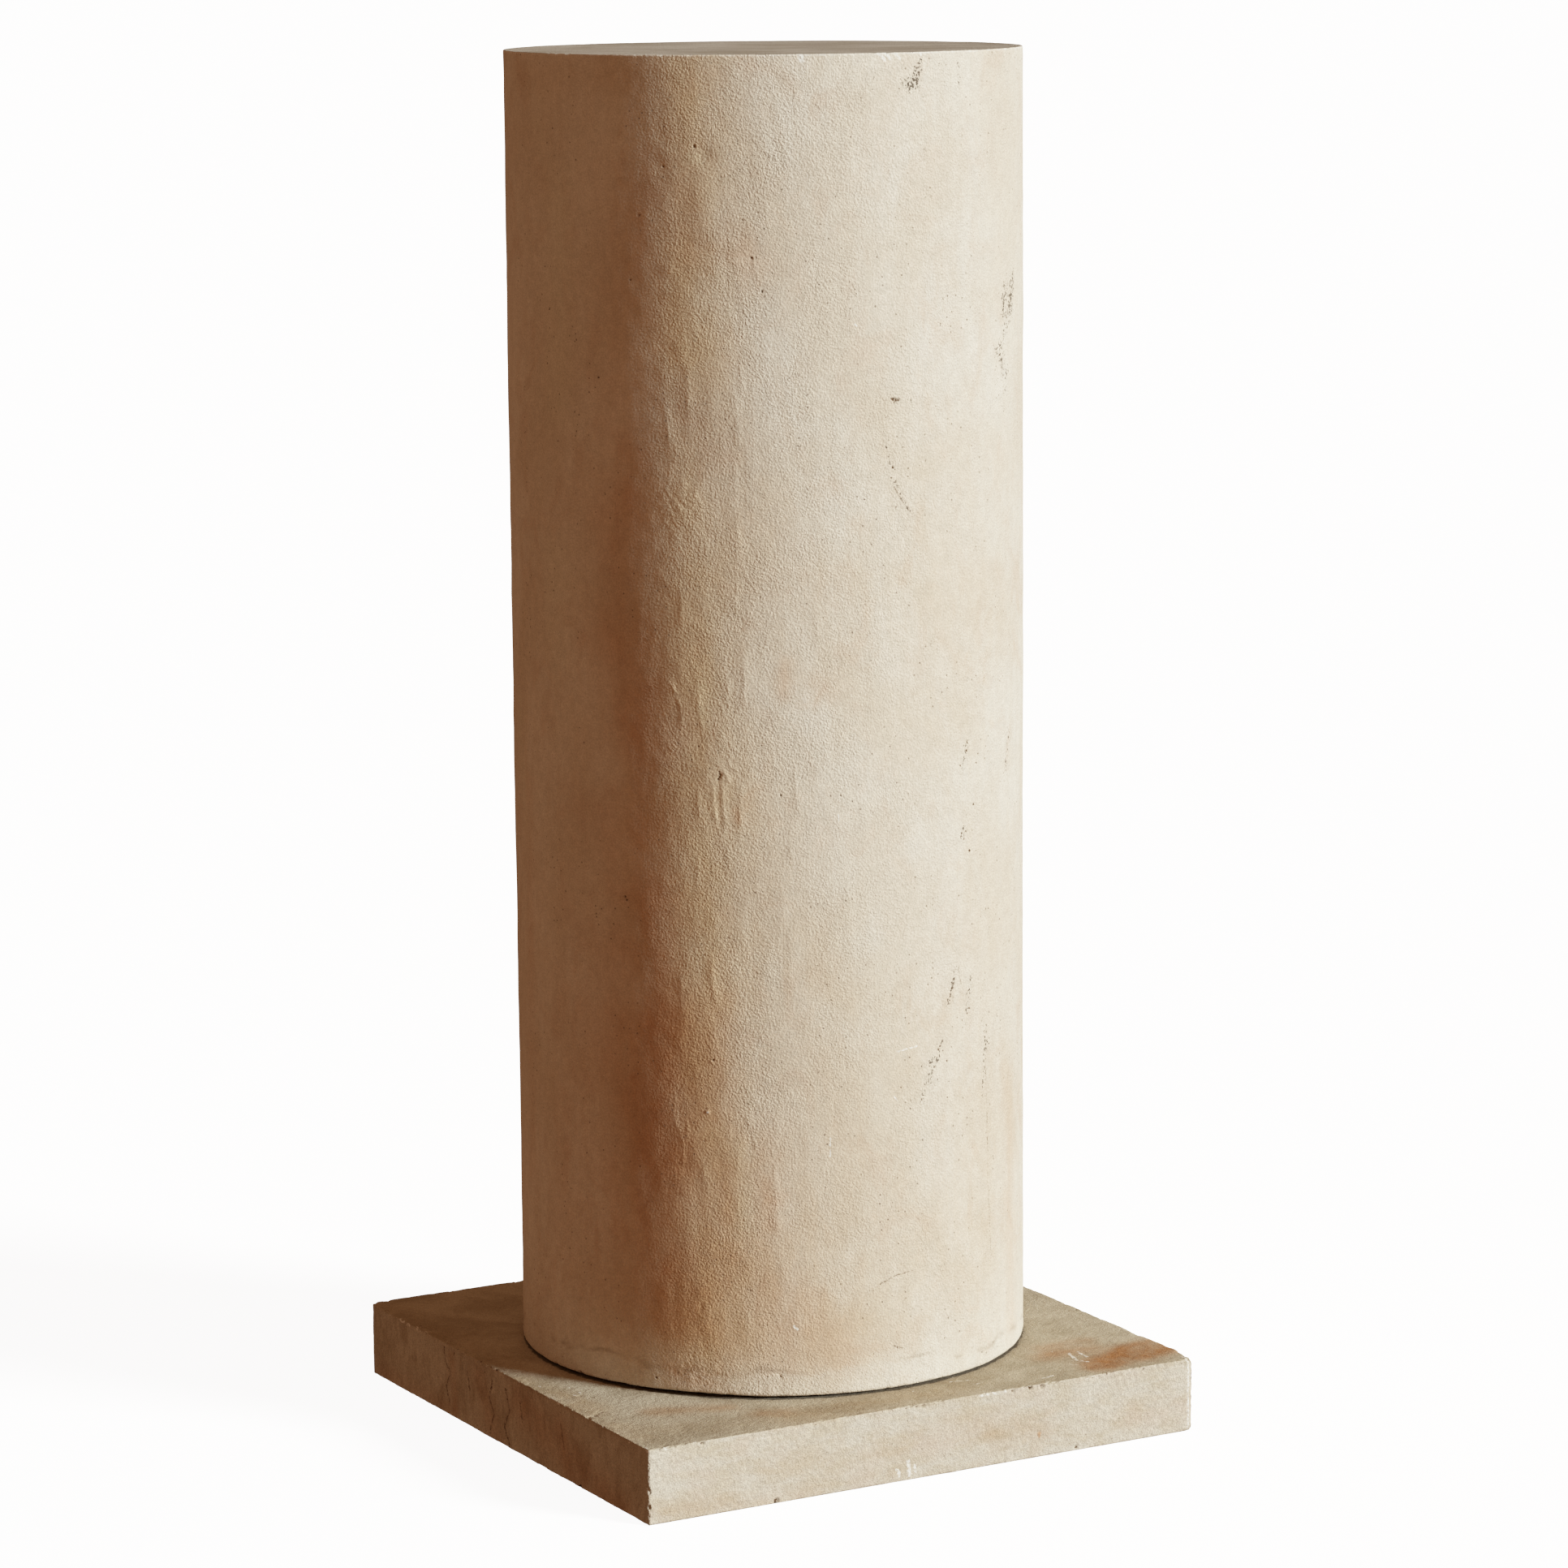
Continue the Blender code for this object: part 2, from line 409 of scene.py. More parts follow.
# Folds of the plaster: two pixels of the photograph, x and y each, then the widths to the left and to the
# right and the height in mm
SHAFT_FOLDS = [
    (827, 838, 833, 858, 1.2, 1.3, 0.58), (831, 853, 838, 880, 1.2, 1.4, 0.48),
    (836, 873, 840, 900, 1.6, 1.6, 0.38), (861, 842, 863, 908, 3.5, 3.0, 0.52),
    (896, 822, 898, 880, 2.5, 2.2, 0.45), (916, 796, 918, 886, 3.6, 2.4, 0.66),
    (860, 956, 862, 1026, 2.2, 3.0, 0.44), (880, 950, 882, 1036, 4.4, 1.2, 0.72),
    (890, 950, 892, 1034, 2.2, 3.6, 0.76), (911, 948, 914, 1036, 2.4, 4.0, 0.66),
    (872, 942, 873, 964, 1.4, 1.4, 0.25), (867, 990, 868, 1026, 1.6, 1.6, 0.25),
    (888, 949, 901, 964, 0.8, 0.9, 0.40), (897, 934, 899, 949, 0.7, 0.9, 0.40),
    (902, 945, 911, 952, 0.9, 0.9, 0.45), (892, 961, 902, 967, 0.8, 0.8, 0.40),
    (912, 436, 915, 492, 2.2, 2.4, 0.34), (906, 484, 911, 562, 2.2, 2.4, 0.30),
    (904, 560, 907, 640, 2.4, 2.4, 0.22), (908, 620, 910, 712, 2.8, 2.8, 0.36),
    (905, 706, 909, 764, 2.6, 2.6, 0.30), (925, 308, 935, 352, 1.0, 1.6, 0.40),
    (911, 340, 919, 404, 2.0, 3.0, 0.30), (1003, 734, 1007, 794, 2.0, 2.4, 0.52),
    (978, 942, 985, 1014, 2.0, 3.0, 0.62), (973, 1008, 977, 1076, 2.2, 3.0, 0.60),
    (894, 1026, 897, 1084, 3.0, 3.0, 0.36), (915, 1120, 918, 1190, 3.0, 3.0, 0.30),
    (876, 1160, 881, 1250, 3.0, 3.0, 0.40), (877, 1240, 881, 1312, 2.6, 2.6, 0.34),
    (831, 1376, 846, 1416, 1.4, 1.8, 0.55), (850, 1380, 845, 1413, 1.4, 1.6, 0.24),
    (844, 1405, 842, 1442, 1.6, 2.4, 0.40), (857, 1392, 859, 1444, 2.4, 2.4, 0.20),
    (867, 1428, 869, 1460, 2.0, 2.0, 0.28), (900, 1360, 901, 1416, 3.0, 3.0, 0.34),
    (907, 1388, 910, 1462, 5.0, 5.0, 0.44), (910, 1446, 907, 1545, 5.0, 6.0, 0.34),
    (956, 1372, 959, 1406, 3.0, 3.0, 0.34), (955, 1420, 958, 1530, 5.0, 4.0, 0.62),
    (921, 1369, 926, 1395, 0.9, 3.0, 0.40), (925, 1398, 932, 1418, 0.9, 3.0, 0.40),
    (880, 1428, 891, 1437, 0.7, 0.7, -0.16), (887, 1436, 901, 1438, 0.7, 0.7, -0.16),
    (864, 1602, 865, 1622, 0.9, 0.9, -0.45), (957, 1690, 963, 1701, 0.8, 0.8, -0.60),
    (962, 1500, 966, 1590, 3.4, 3.4, 0.26), (918, 1520, 922, 1590, 3.4, 3.4, 0.26),
    (972, 1120, 974, 1270, 3.4, 3.4, 0.22), (846, 440, 850, 520, 3.4, 3.4, 0.28),
    (822, 500, 826, 570, 3.0, 3.0, 0.30), (838, 700, 842, 790, 3.4, 3.4, 0.28),
    (858, 1040, 862, 1120, 3.4, 3.4, 0.28), (840, 1190, 844, 1270, 3.4, 3.4, 0.30),
    (1216, 1270, 1219, 1430, 1.4, 1.4, 0.28), (1219, 1420, 1224, 1556, 1.4, 1.4, 0.28),
]

# Swells of the plaster all over: a height and a size in mm, a seed, how many octaves, how drawn out upright
SHAFT_SWELLS = [(0.45, 130, 1, 1, 1.8), (0.26, 34, 2, 3, 1.6), (0.20, 8, 3, 1, 1.3)]

# Soft lumps and dents: a pixel, a radius and a height in mm
SHAFT_LUMPS = [
    (867, 192, 6.0, -0.85), (852, 192, 5.0, 0.25), (822, 331, 4.5, 0.50), (880, 331, 6.0, 0.45),
    (842, 250, 11.0, -0.45), (870, 275, 12.0, 0.45), (900, 230, 14.0, -0.35), (850, 300, 9.0, -0.35),
    (812, 205, 6.0, -0.45), (905, 320, 8.0, 0.35), (838, 620, 16.0, 0.45), (850, 870, 12.0, 0.30),
    (900, 850, 14.0, 0.35), (860, 905, 14.0, -0.35), (880, 950, 12.0, 0.45), (925, 900, 14.0, -0.25),
    (845, 1000, 18.0, 0.35), (835, 1150, 18.0, -0.40), (850, 1390, 14.0, 0.35),
    (870, 1480, 18.0, -0.35), (860, 1600, 14.0, 0.35), (985, 1636, 5.0, 0.30), (942, 186, 2.6, 0.30),
    (950, 189, 2.4, 0.30), (957, 194, 2.4, 0.25), (968, 186, 2.4, 0.22), (981, 182, 2.2, 0.22),
    (876, 1308, 1.3, 0.55), (872, 1370, 1.1, 0.80), (873, 1361, 0.9, 0.40), (843, 1469, 1.2, 0.50),
    (906, 320, 1.8, 0.30),
]

# Small pits: a pixel, a radius and a depth in mm
SHAFT_PITS = [
    (855, 180, 1.2, 1.4), (817, 205, 1.0, 0.8), (787, 265, 1.1, 1.0), (677, 380, 1.4, 1.0),
    (737, 465, 1.1, 0.8), (776, 345, 1.0, 0.8), (770, 1105, 1.5, 1.1), (772, 1109, 1.1, 0.9),
    (886, 951, 0.7, 1.6), (887, 954, 0.8, 2.2), (887, 957, 0.8, 2.2), (885, 960, 0.7, 1.6),
    (915, 271, 0.8, 0.6), (934, 262, 0.8, 0.6), (926, 318, 1.0, 0.8), (939, 359, 1.1, 0.8),
    (962, 980, 1.0, 0.8), (1008, 983, 0.8, 0.6), (1036, 980, 0.9, 0.6), (1008, 813, 0.8, 0.6),
    (1022, 822, 0.8, 0.6), (879, 1306, 0.9, 0.9), (809, 1698, 1.0, 0.8), (962, 1696, 1.0, 0.8),
    (1106, 1660, 1.2, 0.7), (715, 1693, 2.6, 1.6), (718, 1695, 1.8, 1.2), (1098, 491, 1.2, 1.0),
    (1101, 492, 1.6, 1.2), (1104, 493, 1.6, 1.2), (1107, 493, 1.2, 1.0), (1102, 496, 1.3, 1.0),
    (1122, 493, 0.8, 0.4), (1060, 121, 0.8, 0.4), (1048, 169, 0.8, 0.4), (1157, 385, 0.9, 0.4),
    (1162, 368, 0.9, 0.3), (1191, 394, 1.0, 0.4), (1227, 395, 1.0, 0.4), (1232, 437, 1.2, 0.4),
    (1235, 452, 1.1, 0.4), (1255, 446, 1.4, 0.6), (1076, 419, 0.8, 0.5), (1056, 449, 0.8, 0.4),
    (1091, 514, 0.8, 0.4), (1100, 576, 1.2, 0.7), (1098, 589, 1.0, 0.5), (1103, 594, 0.8, 0.4),
    (1119, 628, 0.9, 0.4), (1192, 914, 1.5, 0.7), (1191, 925, 1.5, 0.7), (1205, 929, 1.1, 0.5),
    (1203, 940, 1.0, 0.5), (1183, 943, 0.9, 0.4), (1199, 991, 1.3, 0.4), (1191, 1004, 0.9, 0.4),
    (1190, 1024, 1.0, 0.4), (1185, 1027, 1.3, 0.5), (1184, 1031, 1.3, 0.5), (1188, 1034, 1.1, 0.4),
    (1198, 1023, 1.0, 0.5), (1194, 1048, 1.1, 0.6), (1228, 1044, 0.9, 0.4), (1131, 989, 0.8, 0.4),
    (1182, 1192, 1.0, 0.5), (1176, 1207, 1.1, 0.7), (1175, 1212, 1.3, 0.8), (1173, 1218, 1.1, 0.7),
    (1171, 1229, 1.1, 0.6), (1168, 1233, 0.9, 0.4), (1196, 1205, 0.9, 0.4), (1194, 1219, 0.9, 0.5),
    (1229, 1212, 1.1, 0.5), (1229, 1217, 1.1, 0.5), (1194, 1242, 1.0, 0.5), (1192, 1249, 1.2, 0.6),
    (1186, 1257, 0.9, 0.4), (1158, 1289, 1.0, 0.6), (1157, 1293, 1.3, 0.8), (1172, 1290, 0.8, 0.4),
    (1167, 1307, 1.2, 0.6), (1152, 1315, 1.3, 0.7), (1145, 1314, 1.0, 0.4), (1148, 1327, 0.9, 0.4),
    (1137, 1350, 1.0, 0.5), (1136, 1355, 1.2, 0.6), (1111, 1340, 1.0, 0.4),
]

# Flaked patches, sprinkled with fine specks: two pixels, a width in mm and a strength
SHAFT_FLAKES = [
    (1134, 74, 1130, 88, 2.6, 0.85), (1130, 88, 1123, 104, 6.0, 1.0), (1117, 107, 1128, 105, 5.0, 1.0),
    (1180, 76, 1182, 102, 3.0, 0.75), (1078, 86, 1076, 108, 3.2, 0.70), (1159, 80, 1160, 92, 2.6, 0.70),
    (1238, 352, 1236, 384, 7.0, 0.90), (1247, 344, 1244, 384, 9.0, 0.95),
    (1240, 404, 1228, 432, 7.0, 0.65), (1233, 436, 1236, 456, 8.0, 0.75),
    (1240, 456, 1237, 500, 6.0, 0.55), (1243, 898, 1237, 974, 4.6, 0.70),
    (1092, 548, 1099, 576, 2.2, 0.75), (1103, 594, 1120, 630, 2.4, 0.75),
    (1178, 1194, 1168, 1236, 3.4, 0.80), (1196, 1200, 1190, 1258, 4.0, 0.65),
    (1160, 1284, 1146, 1330, 4.4, 0.70), (1126, 1318, 1150, 1306, 3.2, 0.75),
    (1140, 1336, 1136, 1362, 2.8, 0.70), (1215, 1262, 1211, 1352, 3.4, 0.75),
    (1190, 910, 1186, 950, 4.4, 0.65), (1188, 1018, 1186, 1036, 4.0, 0.75),
    (1232, 1240, 1216, 1290, 4.0, 0.65),
]

# Reddish stains that run down the shaft, the lower ones near the shade line also painted shade: two pixels,
# a width in mm and a strength
SHAFT_RUST_AND_SHADE = [
    (780, 240, 766, 640, 24, 0.24), (764, 640, 766, 800, 24, 0.40), (768, 800, 790, 900, 24, 0.50),
    (790, 860, 800, 1000, 22, 0.45), (745, 1000, 770, 1100, 22, 0.28), (800, 1040, 812, 1110, 18, 0.42),
    # These runs, low down where the light fades round the drum, are also painted shade that carries the
    # shade line further right towards the foot
    (806, 1110, 814, 1260, 20, 0.66), (814, 1260, 820, 1420, 22, 0.84),
    (818, 1420, 824, 1620, 24, 0.82), (878, 1240, 882, 1640, 24, 0.34),
    (940, 1430, 945, 1680, 28, 0.24), (762, 1180, 764, 1640, 28, 0.50),
    (704, 1250, 704, 1600, 26, 0.18), (652, 960, 655, 1440, 9, 0.22), (980, 1610, 1040, 1680, 24, 0.30),
    (830, 240, 850, 300, 16, 0.20), (905, 300, 930, 330, 14, 0.22), (968, 818, 966, 856, 6, 0.34),
    (1002, 842, 1022, 856, 8, 0.22), (1243, 1330, 1246, 1640, 11, 0.30), (780, 560, 784, 600, 14, 0.20),
    (770, 860, 776, 890, 10, 0.30), (812, 1430, 814, 1450, 12, 0.35), (782, 1290, 784, 1350, 14, 0.25),
    (906, 998, 909, 1012, 3, 0.40), (830, 1698, 880, 1706, 10, 0.50), (894, 1440, 898, 1500, 7, 0.30),
    (945, 1460, 950, 1510, 7, 0.30),
]

# Beige-brown stains, the lower ones near the shade line also painted shade: two pixels, a width in mm and a
# strength
SHAFT_TAN_AND_SHADE = [
    (960, 700, 1240, 760, 42, 0.40), (1120, 500, 1130, 740, 30, 0.30),
    (1200, 1090, 1210, 1400, 40, 0.30), (1000, 820, 1200, 860, 36, 0.28),
    (1000, 1180, 1110, 1290, 40, 0.30), (960, 1470, 1200, 1530, 44, 0.50),
    (930, 1560, 1080, 1640, 40, 0.50), (1000, 1520, 1060, 1610, 40, 0.60),
    (990, 1560, 1012, 1660, 30, 0.60), (842, 90, 845, 320, 14, 0.45), (925, 930, 930, 1060, 22, 0.30),
    (780, 1690, 900, 1706, 14, 0.60), (1100, 1330, 1240, 1560, 60, 0.26),
    (930, 1100, 990, 1220, 36, 0.34), (905, 540, 960, 620, 34, 0.22),
    (1240, 1300, 1250, 1420, 12, 0.40), (990, 1330, 1060, 1420, 34, 0.30), (640, 90, 780, 96, 14, 0.40),
    (900, 180, 960, 330, 24, 0.24), (790, 700, 800, 1000, 26, 0.25), (780, 1110, 800, 1180, 14, 0.50),
    # These runs, low down where the light fades round the drum, are also painted shade that carries the
    # shade line further right towards the foot
    (790, 1270, 810, 1640, 24, 0.55), (850, 1290, 870, 1640, 24, 0.50),
    (900, 1420, 905, 1650, 22, 0.40), (720, 1560, 900, 1640, 26, 0.40),
]

# Painted warm shade: amber laid along the band where the light grazes the shaft and fades into shade: two
# pixels, a width in mm and a strength
SHAFT_PAINTED_WARM_SHADE = [
    (846, 80, 846, 430, 34, 0.75), (848, 430, 850, 640, 30, 0.40), (850, 640, 860, 1000, 36, 0.80),
    (862, 1000, 868, 1640, 38, 0.95),
]

# Greyer, paler runs on the shaded side: two pixels, a width in mm and a strength
SHAFT_OLIVE = [
    (690, 230, 688, 500, 16, 0.60), (660, 110, 668, 180, 10, 0.30), (684, 690, 686, 810, 16, 0.50),
    (640, 860, 648, 1010, 9, 0.50), (850, 195, 864, 195, 5, 0.50), (866, 846, 868, 890, 5, 0.40),
    (914, 1416, 916, 1510, 7, 0.60),
]

# Pale, almost white marks: two pixels and a width in mm
SHAFT_WHITES = [
    (986, 66, 987, 73, 3.6), (1083, 65, 1090, 74, 1.8), (1089, 64, 1096, 72, 1.8),
    (1103, 65, 1109, 72, 1.6), (1133, 65, 1135, 68, 1.0), (1105, 1296, 1130, 1289, 0.8),
    (871, 1371, 872, 1371, 1.2), (1023, 1402, 1023, 1425, 0.7), (979, 1634, 983, 1638, 1.6),
    (1033, 1004, 1034, 1012, 0.9), (1053, 399, 1056, 402, 0.9), (1102, 1352, 1106, 1356, 0.8),
]

# Fine tan scratches: two pixels and a width in mm
SHAFT_SCRATCHES = [
    (1084, 1582, 1102, 1572, 1.3), (1102, 1572, 1126, 1565, 1.1), (1102, 600, 1114, 622, 0.9),
    (1176, 1192, 1170, 1230, 1.1), (1180, 1190, 1184, 1214, 0.9), (1100, 1658, 1112, 1661, 0.9),
    (1214, 1300, 1217, 1420, 0.7), (1216, 1430, 1221, 1550, 0.7),
]

# Coarse, pebbly patches: a pixel, a radius in mm and a strength
SHAFT_ROUGH = [(836, 624, 28, 1.0), (864, 1690, 27, 1.2), (903, 925, 16, 0.6), (950, 190, 18, 0.6)]

# How fine the shaft's mesh is at each kind of place
SHAFT_COLUMNS = 107
SHAFT_ROW = 11.0 * MM
FINE_ROUNDS = 4
SHAFT_MESH = {
    "hidden": 11.0 * MM,
    "seen": 4.2 * MM,
    "folded": 2.1 * MM,
    "rough": 1.0 * MM,
    "rim": 1.0 * MM,
    "back_rim": 2.4 * MM,
    "foot": 1.6 * MM,
    "flakes": 2.1 * MM,
    "marks": 0.8 * MM,
}

# Degrees round the shaft from the camera's side: the most folded band, and how far side and edges are seen
FRONT_BAND_DEG = (-40.0, 20.0)
SEEN_DEG = 80
EDGES_SEEN_DEG = 95

# Nicks out of the rim and the foot, and ridges on the back
RIM_NICKS = 46
RIM_NICK_DEPTH = 1.5 * MM
FOOT_NICKS = 8
FOOT_NICK_DEPTH = 1.4 * MM
BACK_RIDGES = 16
BACK_RIDGE_WIDTH = 3.5 * MM

# Where round the shaft, from the camera's side, the open joint is widest, and how much it widens
JOINT_LIFT = 1.0 * MM
JOINT_LIFT_DEG = -20.0
JOINT_LIFT_REACH_DEG = 18.0
JOINT_LIFT_FADE = 12 * MM


def even_steps(low, high, size):
    """Levels from low to high, both left out, about that size apart."""
    count = max(1, round(abs(high - low) / size))
    return list(np.linspace(low, high, count + 1)[1:-1])


def shaft_profile():
    """The half section of the plain drum, sharp-edged, from the centre of its top to that of its foot."""
    near = [9.0 * MM, 4.5 * MM, 1.6 * MM]
    top = [(radius, SHAFT_TOP) for radius in even_steps(0.0, SHAFT_RADIUS - near[0], 12 * MM)]
    rim = [(SHAFT_RADIUS - inset, SHAFT_TOP) for inset in near]
    below = [(SHAFT_RADIUS, SHAFT_TOP - drop) for drop in reversed(near)]
    side = [(SHAFT_RADIUS, z) for z in even_steps(SHAFT_TOP - near[0], JOINT_Z + near[0], SHAFT_ROW)]
    foot = [(SHAFT_RADIUS, JOINT_Z + rise) for rise in near]
    bed_radius = SHAFT_RADIUS - OPEN_JOINT_DEPTH
    under = [(SHAFT_RADIUS, JOINT_Z), (SHAFT_RADIUS - 4 * MM, JOINT_Z), (bed_radius, JOINT_Z),
             (bed_radius, SHAFT_FOOT)]
    return ([(0.0, SHAFT_TOP)] + top + rim + [(SHAFT_RADIUS, SHAFT_TOP)] + below + side + foot + under
            + [(0.0, SHAFT_FOOT)])


def turned_degrees(points):
    """How far round the shaft each point lies from the camera's side, in degrees, right positive."""
    angle = np.degrees(np.arctan2(points[:, 1], points[:, 0])) + 90 - CAMERA_AZIMUTH_DEG
    return (angle + 180) % 360 - 180


def shaft_detail_spots():
    """Every listed mark on the shaft as (start, end, reach), for the mesh to be fine there."""
    spots = []
    for start, end, left, right, _ in stretches(SHAFT_FOLDS, on_shaft):
        spots.append((start, end, min(left + right, 1.8) * MM))
    for centre, radius, _ in places(SHAFT_PITS, on_shaft):
        spots.append((centre, centre, (radius + 0.5) * MM))
    for start, end, width in stretches(SHAFT_WHITES + SHAFT_SCRATCHES, on_shaft):
        spots.append((start, end, width * MM))
    return spots


def shaft_target(centres, reaches):
    """How fine the shaft's faces are to be at each place, in metres."""
    turned = turned_degrees(centres)
    radius = np.hypot(centres[:, 0], centres[:, 1])
    side = radius > SHAFT_RADIUS - 1 * MM
    size = np.full(len(centres), SHAFT_MESH["hidden"])
    size[side & (np.abs(turned) < SEEN_DEG)] = SHAFT_MESH["seen"]
    size[side & (turned > FRONT_BAND_DEG[0]) & (turned < FRONT_BAND_DEG[1])] = SHAFT_MESH["folded"]
    size[side & (roughness_patches(centres) > 0.1)] = SHAFT_MESH["rough"]
    front = np.abs(turned) < EDGES_SEEN_DEG
    rim = (SHAFT_TOP - centres[:, 2] < 3 * MM + reaches) & (SHAFT_RADIUS - radius < 3 * MM + reaches)
    foot = (centres[:, 2] - JOINT_Z < 4 * MM + reaches) & (SHAFT_RADIUS - radius < 2 * MM + reaches)
    size[front & rim] = SHAFT_MESH["rim"]
    size[~front & rim] = SHAFT_MESH["back_rim"]
    size[front & foot] = SHAFT_MESH["foot"]
    for start, end, width, _ in stretches(SHAFT_FLAKES, on_shaft):
        distance, _ = line_distance(centres, start, end)
        size[side & (distance < width * MM + reaches)] = SHAFT_MESH["flakes"]
    for start, end, reach in shaft_detail_spots():
        distance, _ = line_distance(centres, start, end)
        size[side & (distance < reach + reaches)] = SHAFT_MESH["marks"]
    return size


def shaft_relief(points):
    """How far the plaster stands out of the true drum at each point of its side, in metres."""
    relief = np.zeros(len(points))
    for height, size, seed, octaves, upright in SHAFT_SWELLS:
        relief += height * MM * rounded(points, size * MM, seed, octaves, upright)
    relief += 0.22 * MM * np.abs(field(points, 11 * MM, 4, upright=5.0))
    wavy = points + 1.6 * MM * offsets(points, 16 * MM, 5)
    strength = 0.9 + 0.5 * field(points, 12 * MM, 6)
    for start, end, left, right, height in stretches(SHAFT_FOLDS, on_shaft):
        relief += strength * fold(wavy, start, end, left * MM, right * MM, height * MM)
    rough = roughness_patches(points)
    relief += 0.42 * MM * rough * field(points, 2.8 * MM, 7)
    relief += 0.16 * MM * rough * field(points, 6.5 * MM, 9)
    torn = points + 0.6 * MM * offsets(points, 1.8 * MM, 10)
    for centre, radius, height in places(SHAFT_LUMPS, on_shaft):
        relief += lump(points, centre, radius * MM, height * MM)
    for centre, radius, depth in places(SHAFT_PITS, on_shaft):
        relief += hole(torn, centre, radius * MM, depth * MM)
    relief += back_relief(points)
    return relief


def roughness_patches(points):
    """1 where the plaster is coarse and pebbly, 0 where it isn't."""
    rough = np.zeros(len(points))
    for centre, radius, strength in places(SHAFT_ROUGH, on_shaft):
        rough = np.maximum(rough, strength * blob(points, centre, radius * MM))
    return rough


def back_relief(points):
    """A few ridges and grooves on the side that the photograph doesn't show, in the same manner."""
    rng = np.random.default_rng(40)
    relief = np.zeros(len(points))
    for _ in range(BACK_RIDGES):
        angle = math.radians(CAMERA_AZIMUTH_DEG - 90 + rng.uniform(100, 260))
        middle = rng.uniform(SHAFT_FOOT + 0.08, SHAFT_TOP - 0.08)
        reach = rng.uniform(0.015, 0.045)
        foot = SHAFT_RADIUS * np.array([math.cos(angle), math.sin(angle), 0.0])
        start = foot + np.array([0.0, 0.0, middle - reach])
        end = foot + np.array([0.0, 0.0, middle + reach])
        height = rng.uniform(-0.5, 0.5) * MM
        relief += fold(points, start, end, BACK_RIDGE_WIDTH, BACK_RIDGE_WIDTH, height)
    return relief


def rim_wear(points, arris, nicks, seed, deepest):
    """The radius of a round edge at each point: nearly even, with short nicks scattered along it."""
    wear = arris * (1 + 0.35 * field(points, 22 * MM, seed))
    rng = np.random.default_rng(seed)
    angles = np.radians(CAMERA_AZIMUTH_DEG - 90 + rng.uniform(-100, 260, nicks))
    here = np.arctan2(points[:, 1], points[:, 0])
    for angle in angles:
        half_length = rng.uniform(1.2, 4.0) * MM
        depth = rng.uniform(0.3, 1.0) * deepest
        apart = np.abs((here - angle + math.pi) % (2 * math.pi) - math.pi) * SHAFT_RADIUS
        wear = np.maximum(wear, arris + depth * step(-apart, -half_length, -0.4 * half_length))
    return wear


def joint_gap(points, height):
    """How much the open joint under the foot widens at each point."""
    apart = (turned_degrees(points) - JOINT_LIFT_DEG) / JOINT_LIFT_REACH_DEG
    return JOINT_LIFT * np.exp(-(apart ** 2)) * np.exp(-height / JOINT_LIFT_FADE)


def shaft_points(points):
    """The drum's points with its edges rounded and its relief raised, and the wear of its two edges."""
    radius = np.hypot(points[:, 0], points[:, 1])
    angle = np.arctan2(points[:, 1], points[:, 0])
    side = radius > SHAFT_RADIUS - 0.1 * MM
    radius = np.where(side, SHAFT_RADIUS, radius)
    under = points[:, 2] < JOINT_Z + 0.01 * MM
    bed = (points[:, 2] < JOINT_Z - 0.01 * MM) | (under & (radius < SHAFT_RADIUS - 8 * MM))
    upper = points[:, 2] > (SHAFT_TOP + SHAFT_FOOT) / 2
    rim = rim_wear(points, RIM_ARRIS, RIM_NICKS, 11, RIM_NICK_DEPTH)
    foot = rim_wear(points, FOOT_ARRIS, FOOT_NICKS, 12, FOOT_NICK_DEPTH)
    height = np.where(upper, SHAFT_TOP - points[:, 2], points[:, 2] - JOINT_Z)
    inset, height, outward, upward = round_edge(SHAFT_RADIUS - radius, height, np.where(upper, rim, foot))
    relief = shaft_relief(points)
    seat = upper & (upward > outward)
    relief = np.where(seat, -0.15 * MM * (1 + rounded(points, 40 * MM, 8, 3)), relief)
    calm = step(SHAFT_TOP - points[:, 2], 0.0, 10 * MM)
    relief = np.where(upper & ~seat, relief * (0.25 + 0.75 * calm), relief)
    new_radius = SHAFT_RADIUS - inset + relief * outward
    rise = relief * upward
    low_z = JOINT_Z + height - rise + joint_gap(points, height)
    new_z = np.where(upper, SHAFT_TOP - height + rise, low_z)
    new_z = np.minimum(new_z, SHAFT_TOP)
    moved = np.stack([new_radius * np.cos(angle), new_radius * np.sin(angle), new_z], axis=1)
    return np.where(bed[:, None], points, moved), rim, foot


